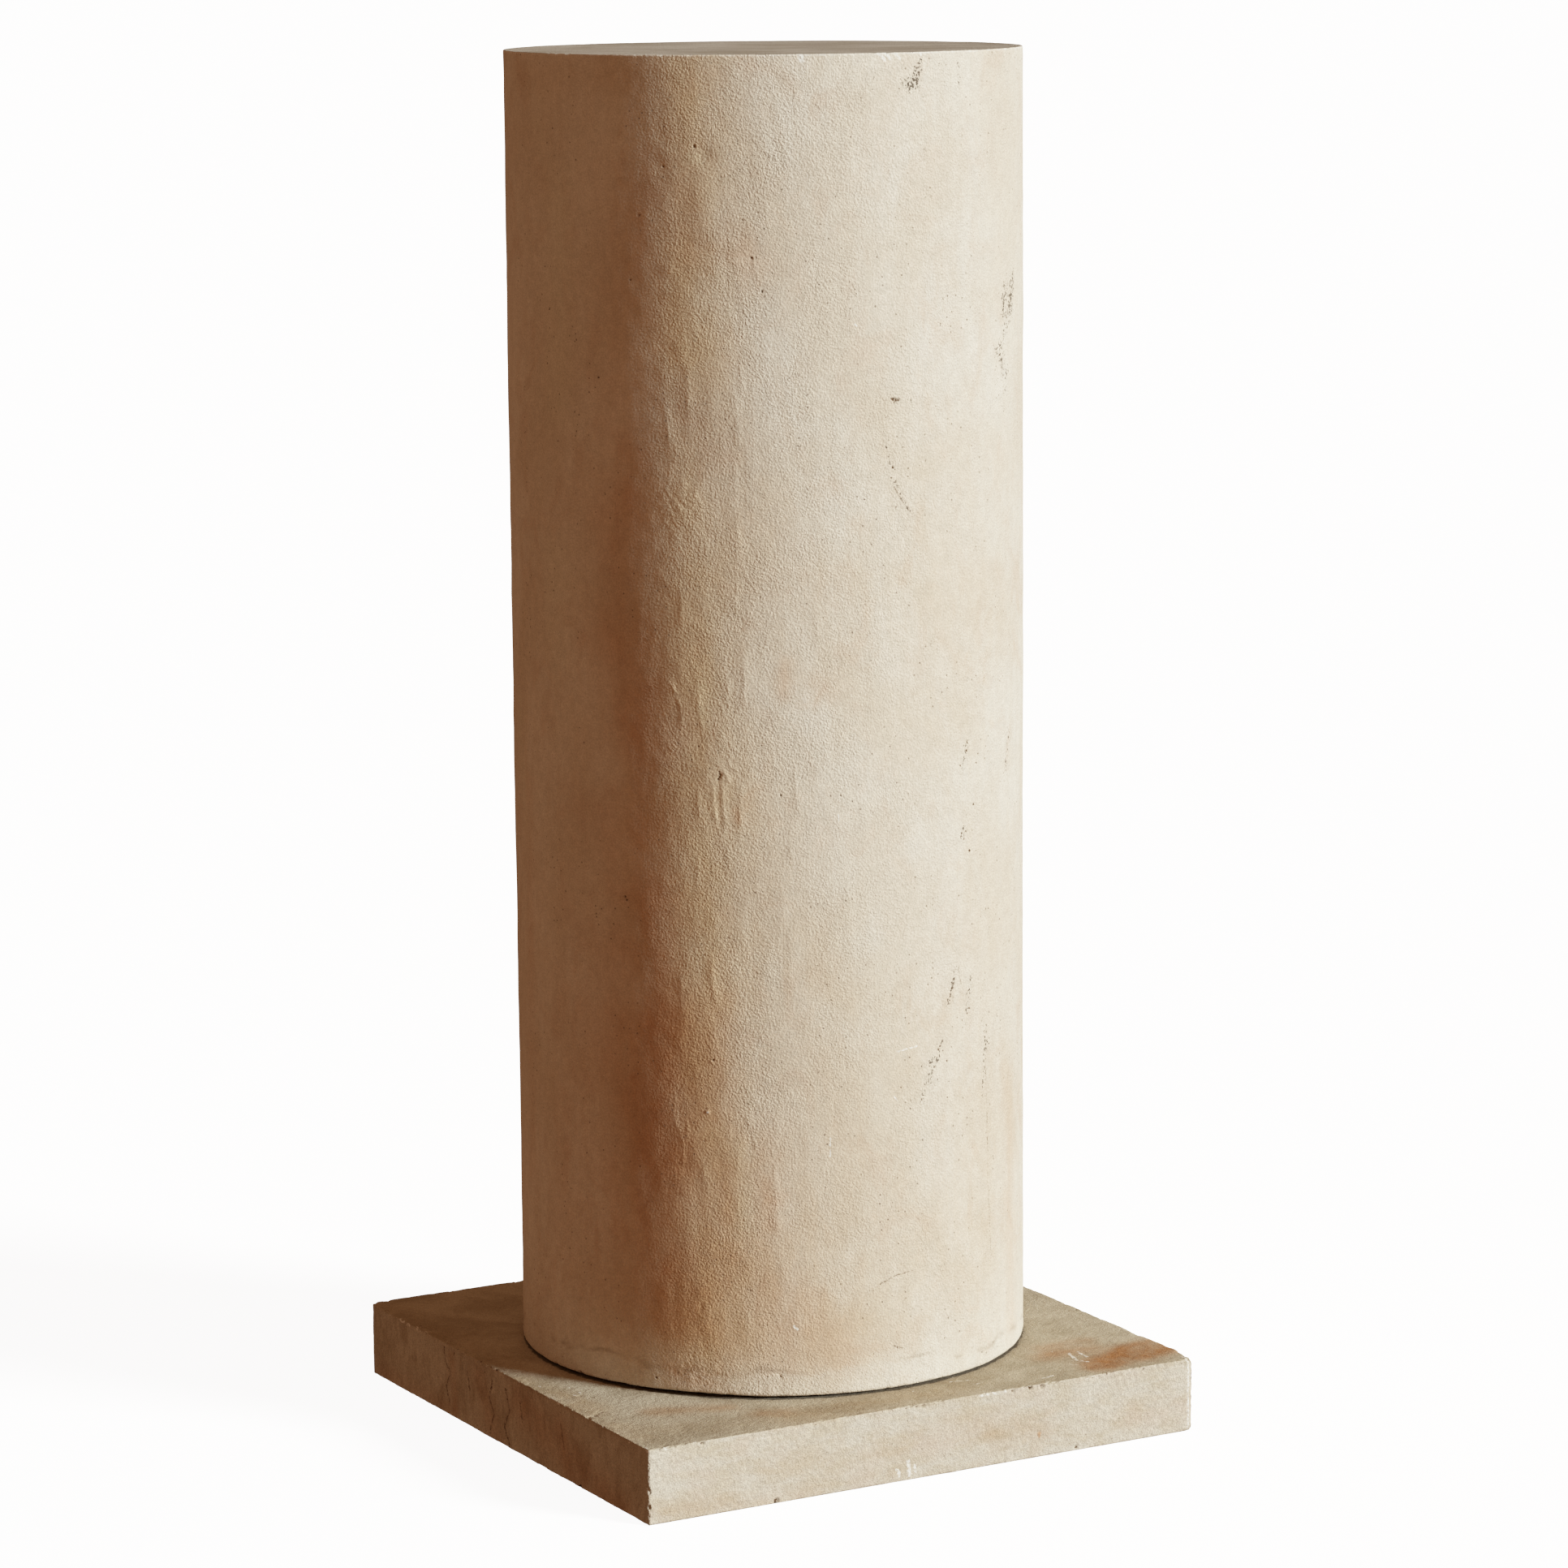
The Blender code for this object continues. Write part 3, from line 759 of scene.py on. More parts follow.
def shaft_paints(points, rim, foot):
    """Where the shaft is stained, pale, dark or rough, and where warm shade is painted along the shade
    line, from 0 to 1.
    """
    torn = points + 0.7 * MM * offsets(points, 2.0 * MM, 10)
    z = points[:, 2]
    radius = np.hypot(points[:, 0], points[:, 1])
    dark = 0.45 * stroked(torn, SHAFT_SCRATCHES, on_shaft)
    dark = np.maximum(dark, 0.9 * dotted(torn, places(SHAFT_PITS, on_shaft), 1.3))
    edge = step(rim, RIM_ARRIS * 1.3, RIM_ARRIS * 2.2) * step(z, SHAFT_TOP - 4 * MM, SHAFT_TOP - 1 * MM)
    edge = edge * step(radius, SHAFT_RADIUS - 3 * MM, SHAFT_RADIUS - 1 * MM)
    low_edge = step(foot, FOOT_ARRIS * 1.3, FOOT_ARRIS * 1.8) * step(-z, -JOINT_Z - 5 * MM, -JOINT_Z)
    behind = step(np.abs(turned_degrees(points)), 85, 110)
    back = step(rounded(points, 160 * MM, 21, 3, upright=2.0), 0.15, 0.9)

    def front(runs):
        return layered(points, runs, on_shaft) * (1 - behind)

    return {
        # Stains; the rust and tan runs low down near the shade line are also painted shade
        "rust": np.maximum(front(SHAFT_RUST_AND_SHADE), 0.5 * behind * back),
        "tan": np.maximum(front(SHAFT_TAN_AND_SHADE), 0.5 * behind * (1 - back)),
        "white": np.maximum(stroked(torn, SHAFT_WHITES, on_shaft), 0.55 * edge),
        "dark": np.maximum(dark, 0.6 * low_edge),
        "rough": roughness_patches(points),
        "olive": front(SHAFT_OLIVE),
        # Painted warm shade along the band where the light grazes the shaft
        "painted_warm_shade": front(SHAFT_PAINTED_WARM_SHADE),
        "flake": front(SHAFT_FLAKES),
    }


def make_shaft():
    """The weathered plaster drum."""
    form = lathe(shaft_profile(), SHAFT_COLUMNS)
    refine(form, shaft_target, FINE_ROUNDS)
    bmesh.ops.recalc_face_normals(form, faces=form.faces)
    points = vertex_points(form)
    moved, rim, foot = shaft_points(points)
    return finish_mesh("shaft_plaster_form", form, moved, shaft_paints(points, rim, foot))


# The plinth

# Orange-brown stains on the slab's top: two pixels, a width in mm and a strength
TOP_RUST = [
    (1356, 1678, 1392, 1664, 16, 1.0), (1350, 1685, 1376, 1680, 9, 0.80),
    (1400, 1670, 1448, 1657, 14, 1.0), (1384, 1660, 1430, 1648, 9, 0.60),
    (1286, 1672, 1304, 1666, 11, 0.60), (1284, 1660, 1336, 1651, 10, 0.40),
    (1310, 1668, 1345, 1660, 10, 0.45), (806, 1739, 834, 1737, 11, 0.40),
    (866, 1735, 894, 1733, 10, 0.34), (938, 1741, 966, 1739, 10, 0.34),
]

# Grey-brown darkening on the slab's top, in front of the shaft's foot and to its left where its shadow
# falls
TOP_TAN = [
    (780, 1764, 1000, 1744, 22, 0.42), (980, 1744, 1170, 1712, 20, 0.75),
    (690, 1728, 790, 1770, 16, 0.55), (640, 1700, 730, 1734, 14, 0.85),
    (1040, 1728, 1200, 1700, 14, 0.35), (808, 1739, 832, 1737, 10, 0.65),
    (868, 1735, 892, 1733, 9, 0.60), (940, 1741, 964, 1739, 10, 0.55), (470, 1612, 640, 1690, 22, 0.35),
    (1400, 1690, 1460, 1680, 10, 0.25),
]

# Pale scuffs on the slab's top: two pixels and a width in mm
TOP_WHITES = [
    (1317, 1667, 1326, 1675, 2.4), (1328, 1665, 1340, 1671, 2.0), (1331, 1676, 1341, 1677, 2.0),
    (1320, 1680, 1327, 1681, 1.4), (690, 1712, 692, 1712, 1.2), (700, 1708, 702, 1709, 1.2),
    (706, 1718, 709, 1719, 1.4), (713, 1714, 715, 1715, 1.2), (722, 1722, 724, 1722, 1.2),
    (741, 1706, 743, 1707, 1.2), (762, 1711, 764, 1712, 1.0), (664, 1707, 667, 1709, 1.4),
    (779, 1699, 781, 1700, 1.0), (1170, 1702, 1196, 1700, 1.2), (1196, 1706, 1214, 1703, 1.0),
    (1283, 1698, 1298, 1694, 1.6), (1262, 1711, 1280, 1707, 1.2), (1330, 1643, 1333, 1644, 1.2),
    (1124, 1713, 1126, 1714, 1.2),
]

# Cracks and brown runs down the left face: two pixels, a width and a depth in mm
LEFT_CRACKS = [
    (546, 1660, 548, 1678, 0.8, 0.45), (548, 1678, 554, 1692, 0.8, 0.45),
    (554, 1692, 549, 1708, 0.8, 0.40), (549, 1708, 553, 1728, 0.7, 0.35),
    (606, 1702, 602, 1722, 0.9, 0.45), (602, 1722, 608, 1742, 0.9, 0.45),
    (608, 1742, 603, 1766, 0.8, 0.35), (622, 1712, 627, 1738, 0.9, 0.50),
    (627, 1738, 621, 1758, 0.9, 0.45), (621, 1758, 627, 1780, 0.8, 0.35),
    (640, 1728, 643, 1752, 0.7, 0.35), (575, 1690, 578, 1712, 0.7, 0.30),
    (690, 1756, 694, 1784, 0.7, 0.30),
]

# Brown stains on the left and front faces: two pixels, a width in mm and a strength
LEFT_RUST = [
    (590, 1700, 610, 1770, 12, 0.55), (556, 1672, 560, 1730, 7, 0.45), (640, 1730, 770, 1870, 18, 0.55),
    (690, 1760, 700, 1810, 14, 0.35), (470, 1690, 560, 1740, 7, 0.35),
]
FRONT_RUST = [
    (820, 1866, 1010, 1838, 6, 0.22), (940, 1812, 1000, 1802, 9, 0.14),
    (1080, 1792, 1240, 1762, 8, 0.20), (1120, 1764, 1200, 1750, 7, 0.14),
    (1380, 1748, 1462, 1736, 8, 0.14), (1020, 1812, 1080, 1800, 8, 0.14),
]
FRONT_TAN = [
    (810, 1860, 900, 1846, 8, 0.36), (900, 1806, 1000, 1796, 10, 0.10),
    (1060, 1790, 1100, 1782, 10, 0.15), (1200, 1745, 1240, 1772, 9, 0.30),
    (1228, 1768, 1280, 1758, 11, 0.45), (1300, 1760, 1400, 1742, 8, 0.25),
    (1395, 1735, 1404, 1745, 7, 0.30), (1000, 1832, 1110, 1812, 6, 0.25),
]

# Crisp pits in the slab: the face that they lie on, a pixel, a radius and a depth in mm
SLAB_PITS = [
    (on_front, 866, 1778, 2.0, 1.6), (on_front, 1138, 1732, 2.4, 1.6), (on_front, 1130, 1733, 1.6, 1.2),
    (on_front, 1249, 1713, 2.2, 1.4), (on_front, 1270, 1710, 2.4, 1.8),
    (on_front, 1285, 1708, 2.6, 1.8), (on_front, 957, 1850, 2.8, 1.6), (on_front, 1326, 1783, 2.0, 1.4),
    (on_left, 714, 1832, 3.0, 2.2), (on_left, 545, 1660, 2.4, 1.6), (on_left, 558, 1668, 1.6, 1.2),
    (on_top, 733, 1744, 1.6, 1.4), (on_top, 741, 1739, 1.3, 1.2), (on_top, 1326, 1613, 1.6, 1.0),
]

# Marks on the front face: red spots as a pixel and a radius, white ones as two pixels and a width, in mm
FRONT_RED_SPOTS = [
    (1281, 1766, 2.2), (1281, 1770, 1.8), (1165, 1777, 1.0),
]
FRONT_WHITES = [
    (1119, 1801, 1121, 1817, 2.8), (1127, 1806, 1128, 1814, 1.8), (1106, 1810, 1109, 1819, 2.0),
]

# Nicks up the crisp corner: a pixel and a radius in mm
CORNER_NICKS = [
    (798, 1806, 2.6), (799, 1822, 1.6), (798, 1838, 3.2), (799, 1858, 2.6), (798, 1870, 1.6),
]


# How fine the slab's mesh is at each kind of place, and how close to an edge counts as near
SLAB_MESH = {
    "hidden": 9.0 * MM,
    "open": 5.0 * MM,
    "edges": 2.4 * MM,
    "seen_top_edges": 0.8 * MM,
    "crisp_corner": 0.8 * MM,
    "right_corner": 1.2 * MM,
    "seen_foot": 1.6 * MM,
    "marks": 0.9 * MM,
}
EDGE_REACH = 3.2 * MM

# Ruling lines close to each edge of the slab, and how far apart they are elsewhere
SLAB_NEAR = [1.6 * MM, 4.5 * MM, 9.0 * MM]
SLAB_ACROSS = 8.8 * MM
SLAB_UPRIGHT = 7.4 * MM


def slab_lines(low, high, near, size):
    """Ruling lines across the slab: close together at both edges, about that size apart between."""
    inner = even_steps(low + near[-1], high - near[-1], size)
    return [low] + [low + n for n in near] + inner + [high - n for n in reversed(near)] + [high]


def slab_pits():
    """The slab's pits as (centre, radius, depth)."""
    return [(find(px, py), radius, depth) for find, px, py, radius, depth in SLAB_PITS]


def slab_marks():
    """Every fine mark on the slab as (start, end, reach), for the mesh to be fine there."""
    marks = [(centre, centre, (radius + 1.5) * MM) for centre, radius, _ in slab_pits()]
    for rows, find in ((LEFT_CRACKS, on_left), (TOP_WHITES, on_top), (FRONT_WHITES, on_front)):
        for start, end, width, *_ in stretches(rows, find):
            marks.append((start, end, (width + 1.0) * MM))
    for centre, radius in places(FRONT_RED_SPOTS, on_front):
        marks.append((centre, centre, (radius + 1.0) * MM))
    return marks


def slab_target(centres, reaches):
    """How fine the slab's faces are to be at each place, in metres."""
    x, y, z = centres.T
    size = np.full(len(centres), SLAB_MESH["hidden"])
    hidden = (np.hypot(x, y) < SHAFT_RADIUS - 6 * MM) | (z < 0.5 * MM)
    size[~hidden] = SLAB_MESH["open"]
    near_top = z > PLINTH_TOP - EDGE_REACH - reaches
    near_foot = z < 3 * MM + reaches
    near_left = x < -HALF_SIDE + EDGE_REACH + reaches
    near_front = y < -HALF_SIDE + EDGE_REACH + reaches
    near_right = x > HALF_SIDE - EDGE_REACH - reaches
    near_back = y > HALF_SIDE - EDGE_REACH - reaches
    rims = near_left.astype(int) + near_front + near_right + near_back + near_top + near_foot
    seen = near_left | near_front
    size[(rims >= 2)] = SLAB_MESH["edges"]
    size[(rims >= 2) & seen & near_top] = SLAB_MESH["seen_top_edges"]
    size[near_left & near_front] = SLAB_MESH["crisp_corner"]
    size[near_front & near_right] = SLAB_MESH["right_corner"]
    size[near_foot & seen] = SLAB_MESH["seen_foot"]
    for start, end, reach in slab_marks():
        distance, _ = line_distance(centres, start, end)
        size[distance < reach + reaches] = SLAB_MESH["marks"]
    size[z < 0.1 * MM] = SLAB_MESH["hidden"]
    return size


def edge_wear(points, upper):
    """How round the slab's edges are worn at each point, less at the foot and on the right."""
    x, y, _ = points.T
    wear = 1 + 0.7 * field(points, 30 * MM, 32) + 1.5 * np.maximum(0, field(points, 6 * MM, 33))
    wear = PLINTH_ARRIS * wear
    broken = np.where((x > 0) & (y > -0.9 * HALF_SIDE), 0.35, 1.0)
    wear += 1.8 * MM * broken * step(field(points, 12 * MM, 34), 0.30, 0.6)
    wear += 1.1 * MM * broken * step(field(points, 3.6 * MM, 44), 0.15, 0.5)
    wear += 5.0 * MM * np.exp(-(((x - HALF_SIDE) ** 2 + (y + HALF_SIDE) ** 2) / (13 * MM) ** 2))
    return np.maximum(np.where(upper, wear, 0.5 * wear), 0.5 * MM)


def slab_points(points):
    """The slab's points with its corners and edges worn round and its relief sunk."""
    x, y, z = points.T
    crisp = (x < 0) & (y < 0)
    corner = np.where(crisp, CRISP_CORNER * (1 + 0.6 * field(points, 11 * MM, 31)), WORN_CORNER)
    in_x = HALF_SIDE - np.abs(x)
    in_y = HALF_SIDE - np.abs(y)
    inset_x, inset_y, share_x, share_y = round_edge(in_x, in_y, corner)
    near = (in_x < corner) & (in_y < corner)
    out_x = np.where(near, share_x, (in_x <= in_y).astype(float))
    out_y = np.where(near, share_y, 1 - out_x)
    round_depth = corner - np.hypot(corner - inset_x, corner - inset_y)
    depth = np.where(near, round_depth, np.minimum(inset_x, inset_y))
    upper = z > PLINTH_TOP / 2
    wear = edge_wear(points, upper)
    drop = np.where(upper, PLINTH_TOP - z, z)
    new_depth, new_drop, outward, upward = round_edge(depth, drop, wear)
    relief = slab_relief(points, wear)
    bottom = z < 0.01 * MM
    relief = np.where(bottom & (upward > outward), 0.0, relief)
    shift = (depth - new_depth) + relief * outward
    side_x = np.sign(x) * (HALF_SIDE - inset_x + shift * out_x)
    side_y = np.sign(y) * (HALF_SIDE - inset_y + shift * out_y)
    rise = relief * upward
    new_z = np.where(upper, PLINTH_TOP - new_drop + rise, new_drop - rise)
    moved = np.stack([side_x, side_y, np.clip(new_z, 0.0, PLINTH_TOP)], axis=1)
    for px, py, radius in CORNER_NICKS:
        moved = bite(moved, corner_nick_centre(px, py, radius), radius * MM)
    return moved


def corner_nick_centre(px, py, radius):
    """A chip's ball stands just outside the crisp corner, at the height that a pixel shows."""
    height = on_front(px, py)[2]
    out = HALF_SIDE + (0.25 * radius - 0.29 * CRISP_CORNER / MM) * MM
    return np.array([-out, -out, height])


def bite(points, centre, radius):
    """Push the points inside a rough ball out to its surface, which leaves a scooped chip."""
    away = points - centre
    distance = np.linalg.norm(away, axis=1)
    close = distance < 1.4 * radius
    if not close.any():
        return points
    reach = radius * (1 + 0.3 * field(points[close], 1.5 * MM, 35))
    length = np.maximum(distance[close], 1e-6)
    grown = np.maximum(length, reach)
    moved = points.copy()
    moved[close] = centre + away[close] / length[:, None] * grown[:, None]
    return moved


def slab_relief(points, wear):
    """How far the slab's surface lies under its true faces at each point, in metres, 0 or less."""
    relief = -0.25 * MM - 0.22 * MM * rounded(points, 46 * MM, 36, 3)
    broken = step(wear, PLINTH_ARRIS * 1.2, PLINTH_ARRIS * 2.4)
    relief -= 0.35 * MM * (1 + 1.5 * field(points, 2.4 * MM, 37)) * broken
    relief -= 0.16 * MM * (1 + field(points, 7 * MM, 43))
    ragged = points + 0.6 * MM * offsets(points, 2 * MM, 40)
    for centre, radius, depth in slab_pits():
        relief += hole(ragged, centre, radius * MM, depth * MM)
    torn = points + 0.8 * MM * offsets(points, 4 * MM, 41)
    for start, end, width, depth in stretches(LEFT_CRACKS, on_left):
        relief += crack(torn, start, end, width * MM, depth * MM)
    return np.minimum(relief, 0.0)


def slab_stains(points, torn, upper):
    """Where the slab is stained orange-brown and grey-brown, from 0 to 1."""
    x, y, _ = points.T
    left = step(-x, HALF_SIDE - 4 * MM, HALF_SIDE - 1 * MM) * (1 - upper)
    front = step(-y, HALF_SIDE - 4 * MM, HALF_SIDE - 1 * MM) * (1 - upper)
    rust = layered(points, TOP_RUST, on_top) * upper
    rust += layered(points, LEFT_RUST, on_left) * left
    rust += layered(points, FRONT_RUST, on_front) * front
    rust = np.maximum(rust, 1.6 * dotted(torn, places(FRONT_RED_SPOTS, on_front)))
    behind = step(y, 0.0, HALF_SIDE) * (1 - upper)
    rust = np.maximum(rust, behind * 0.4 * step(rounded(points, 90 * MM, 39, 3), 0.2, 0.7))
    tan = layered(points, TOP_TAN, on_top) * upper
    tan += layered(points, FRONT_TAN, on_front) * front
    return rust, tan


def crumbled_edges(points):
    """Pale and dark crumbs along the slab's upper edges, from 0 to 1."""
    x, y, z = points.T
    to_edge = np.minimum(HALF_SIDE - np.abs(x), HALF_SIDE - np.abs(y))
    along = (np.abs(to_edge) < 3 * MM) & (z > PLINTH_TOP - 3 * MM)
    grains = step(rounded(points, 5.0 * MM, 38, 2), 0.1, 0.6) * step(field(points, 30 * MM, 42), -0.4, 0.3)
    return along * grains * 0.6, along * step(rounded(points, 4.0 * MM, 45, 2), 0.45, 0.8) * 0.7


def worn_corner_and_painted_shade(points):
    """The pale worn line of the right front corner, and painted shade on its outermost few millimetres,
    from 0 to 1.
    """
    x, y, _ = points.T
    worn = (x > HALF_SIDE - 10 * MM) & (y < -HALF_SIDE + 10 * MM)
    line = step(x, HALF_SIDE - 9 * MM, HALF_SIDE - 7 * MM)
    line = line * step(-x, -HALF_SIDE + 4 * MM, -HALF_SIDE + 6 * MM)
    # Painted shade on the corner's last few millimetres as it turns to the right face
    shade = step(x, HALF_SIDE - 4 * MM, HALF_SIDE - 2 * MM)
    return worn * line * 0.6, worn * shade * (0.35 + 0.4 * field(points, 5 * MM, 46))


def slab_paints(points):
    """Where the slab is stained, pale or dark, with painted shade on the right front corner among the dark,
    from 0 to 1.
    """
    torn = points + 0.8 * MM * offsets(points, 2.5 * MM, 41)
    upper = step(points[:, 2], PLINTH_TOP - 4 * MM, PLINTH_TOP - 1 * MM)
    rust, tan = slab_stains(points, torn, upper)
    white = 0.6 * stroked(torn, TOP_WHITES, on_top)
    white = np.maximum(white, 0.7 * stroked(torn, FRONT_WHITES, on_front))
    dark = 0.85 * dotted(torn, slab_pits(), 1.15)
    dark = np.maximum(dark, 0.46 * stroked(torn, LEFT_CRACKS, on_left, 1.3))
    for pale, deep in (crumbled_edges(points), worn_corner_and_painted_shade(points)):
        white = np.maximum(white, pale)
        dark = np.maximum(dark, deep)
    return {"rust": rust, "tan": tan, "white": white, "dark": dark}


def make_plinth():
    """The weathered square slab."""
    across = slab_lines(-HALF_SIDE, HALF_SIDE, SLAB_NEAR, SLAB_ACROSS)
    heights = slab_lines(0.0, PLINTH_TOP, SLAB_NEAR, SLAB_UPRIGHT)
    form = lattice_box(across, across, heights)
    refine(form, slab_target, FINE_ROUNDS)
    bmesh.ops.recalc_face_normals(form, faces=form.faces)
    points = vertex_points(form)
    return finish_mesh("plinth_plaster_form", form, slab_points(points), slab_paints(points))


# Materials

class Look:
    """One procedural material, built node by node on a Principled BSDF."""

    def __init__(self, name):
        self.material = bpy.data.materials.new(name)
        self.material.use_nodes = True
        self.tree = self.material.node_tree
        self.surface = self.tree.nodes["Principled BSDF"]
        self.place = self.node("ShaderNodeTexCoord").outputs["Object"]

    def node(self, kind, **settings):
        made = self.tree.nodes.new(kind)
        for name, value in settings.items():
            setattr(made, name, value)
        return made

    def feed(self, socket, value):
        """Link an output to the socket, or set the socket to a plain value."""
        if isinstance(value, bpy.types.NodeSocket):
            self.tree.links.new(value, socket)
        else:
            socket.default_value = value

    def scaled(self, shift, scale):
        """The place on the object, shifted and scaled along each axis."""
        stretch = self.node("ShaderNodeMapping")
        self.feed(stretch.inputs["Vector"], self.place)
        stretch.inputs["Location"].default_value = shift
        stretch.inputs["Scale"].default_value = scale
        return stretch.outputs["Vector"]

    def noise(self, size, detail, roughness, upright=1.0, shift=0.0, warp=0.0):
        """Noise from 0 to 1 whose lumps are about that size in metres."""
        scale = (1 / size, 1 / size, 1 / (size * upright))
        place = self.scaled((shift, shift * 0.7, shift * 1.3), scale)
        made = self.node("ShaderNodeTexNoise")
        self.feed(made.inputs["Vector"], place)
        made.inputs["Scale"].default_value = 1.0
        made.inputs["Detail"].default_value = detail
        made.inputs["Roughness"].default_value = roughness
        made.inputs["Distortion"].default_value = warp
        return made.outputs["Fac"]

    def cells(self, size, shift):
        """The distance to the nearest of scattered points, in cell sizes, and a number for each cell."""
        place = self.scaled((shift, shift, shift), (1 / size, 1 / size, 1 / size))
        made = self.node("ShaderNodeTexVoronoi")
        self.feed(made.inputs["Vector"], place)
        made.inputs["Scale"].default_value = 1.0
        apart = self.node("ShaderNodeSeparateColor")
        self.feed(apart.inputs["Color"], made.outputs["Color"])
        return made.outputs["Distance"], apart.outputs["Red"]

    def paint(self, name):
        """A paint of the mesh, from 0 to 1."""
        return self.node("ShaderNodeAttribute", attribute_name=name).outputs["Fac"]

    def math(self, operation, first, second):
        made = self.node("ShaderNodeMath", operation=operation)
        self.feed(made.inputs[0], first)
        self.feed(made.inputs[1], second)
        return made.outputs[0]

    def times(self, first, second):
        return self.math("MULTIPLY", first, second)

    def plus(self, first, second):
        return self.math("ADD", first, second)

    def spread(self, value, low, high, new_low=0.0, new_high=1.0):
        """The value, smoothly mapped from low..high to new_low..new_high and held there."""
        made = self.node("ShaderNodeMapRange", interpolation_type="SMOOTHSTEP")
        self.feed(made.inputs["Value"], value)
        numbers = {"From Min": low, "From Max": high, "To Min": new_low, "To Max": new_high}
        for name, number in numbers.items():
            made.inputs[name].default_value = number
        return made.outputs["Result"]

    def mix(self, share, first, second, blend="MIX"):
        made = self.node("ShaderNodeMix", data_type="RGBA", blend_type=blend)
        self.feed(made.inputs["Factor"], share)
        self.feed(made.inputs["A"], first)
        self.feed(made.inputs["B"], second)
        return made.outputs["Result"]

    def height(self):
        """The z of each point, in metres."""
        apart = self.node("ShaderNodeSeparateXYZ")
        self.feed(apart.inputs["Vector"], self.place)
        return apart.outputs["Z"]

    def radius(self):
        """How far each point lies from the upright axis, in metres."""
        flat = self.node("ShaderNodeVectorMath", operation="MULTIPLY")
        self.feed(flat.inputs[0], self.place)
        flat.inputs[1].default_value = (1.0, 1.0, 0.0)
        length = self.node("ShaderNodeVectorMath", operation="LENGTH")
        self.feed(length.inputs[0], flat.outputs["Vector"])
        return length.outputs["Value"]

    def facing(self, axis, sign):
        """1 on faces that look along the axis, to the side of the sign, and 0 on those across it."""
        apart = self.node("ShaderNodeSeparateXYZ")
        self.feed(apart.inputs["Vector"], self.node("ShaderNodeNewGeometry").outputs["True Normal"])
        return self.spread(self.times(apart.outputs[axis], sign), 0.6, 0.9)

    def finish(self, colour, roughness, relief):
        """Join colour, roughness and the bump's height, in metres, to the surface."""
        bump = self.node("ShaderNodeBump")
        bump.inputs["Strength"].default_value = 1.0
        bump.inputs["Distance"].default_value = 1.0
        self.feed(bump.inputs["Height"], relief)
        self.feed(self.surface.inputs["Normal"], bump.outputs["Normal"])
        self.feed(self.surface.inputs["Base Color"], colour)
        self.feed(self.surface.inputs["Roughness"], roughness)
        self.surface.inputs["Specular IOR Level"].default_value = 0.2
        return self.material


SHAFT_PALE = srgb(227, 217, 200)
SHAFT_SAND = srgb(213, 197, 175)
SHAFT_PINK = srgb(213, 193, 172)
SHAFT_WASHED = srgb(222, 213, 196)
SHAFT_OLIVE_GREY = srgb(224, 218, 196)
SEAT_GREY = srgb(184, 175, 161)
SEAT_BROWN = srgb(152, 140, 122)
PIT_BROWN = srgb(92, 68, 48)
FLAKE_GREY = srgb(72, 58, 44)
# Painted shadow: black laid on the faces that line the open joint under the shaft's foot
PAINTED_JOINT_SHADOW = srgb(52, 40, 30)
CHALK = srgb(240, 235, 224)
SLAB_TOP_SAND = srgb(197, 185, 161)
SLAB_TOP_GREY = srgb(173, 159, 134)
SLAB_FRONT_PALE = srgb(209, 198, 180)
SLAB_FRONT_TAN = srgb(197, 182, 159)
SLAB_FRONT_PINK = srgb(203, 185, 166)
# The left face's colours, darker than the front's: browner plaster, and painted shade for the dimmer light
# low by the floor
SLAB_LEFT_PALE = srgb(196, 186, 168)
SLAB_LEFT_BROWN = srgb(160, 144, 122)
# Painted shade: the darker colour that the slab's top takes towards the shaft's foot
SLAB_PAINTED_SHADE = srgb(150, 126, 98)

# The height up to which the shaft's foot is washed paler
TIDE_LINE = SHAFT_FOOT + 19 * MM

# What a stain takes from the colour under it
RUST_TINT = (0.84, 0.60, 0.47, 1.0)
ORANGE_TINT = (0.74, 0.39, 0.21, 1.0)
TAN_TINT = (0.84, 0.74, 0.64, 1.0)
# What the painted warm shade along the shaft's shade line takes from the colour under it
PAINTED_WARM_SHADE_TINT = (0.96, 0.83, 0.65, 1.0)


# Half the height of the plaster's fine grain and of its pebbles
GRAIN_HEIGHT = 0.085 * MM
PEBBLE_HEIGHT = 0.115 * MM

# How deep the pinholes and the flaked specks are
PIN_DEPTH = 0.3 * MM
FLAKE_DEPTH = 0.15 * MM


def broken_paint(look, name, size, low, high, amount):
    """A paint whose soft edge is broken up by noise."""
    rag = look.spread(look.noise(size, 5.0, 0.6, warp=0.4), 0.3, 0.7, -amount, amount)
    paint = look.paint(name)
    return look.spread(look.plus(paint, look.times(rag, paint)), low, high)


def marked(look, colour):
    """The colour under the dark and the white marks of the mesh."""
    colour = look.mix(broken_paint(look, "dark", 2.0 * MM, 0.15, 0.75, 0.5), colour, PIT_BROWN)
    return look.mix(broken_paint(look, "white", 2.0 * MM, 0.25, 0.75, 0.6), colour, CHALK)


def plaster_peel(look):
    """The orange-peel of the plaster, as a height in metres."""
    grains = look.spread(look.noise(1.0 * MM, 1.0, 0.5, shift=3.0), 0.32, 0.68, -1.0, 1.0)
    centre, _ = look.cells(2.1 * MM, 9.0)
    pebbles = look.spread(centre, 0.1, 0.75, 1.0, -1.0)
    patches = look.spread(look.noise(45 * MM, 2.0, 0.5, upright=1.6, shift=5.0), 0.3, 0.7, 0.65, 1.15)
    fine = look.plus(look.times(grains, GRAIN_HEIGHT), look.times(pebbles, PEBBLE_HEIGHT))
    strength = look.plus(1.0, look.times(look.paint("rough"), 0.5))
    return look.times(look.times(fine, patches), strength)


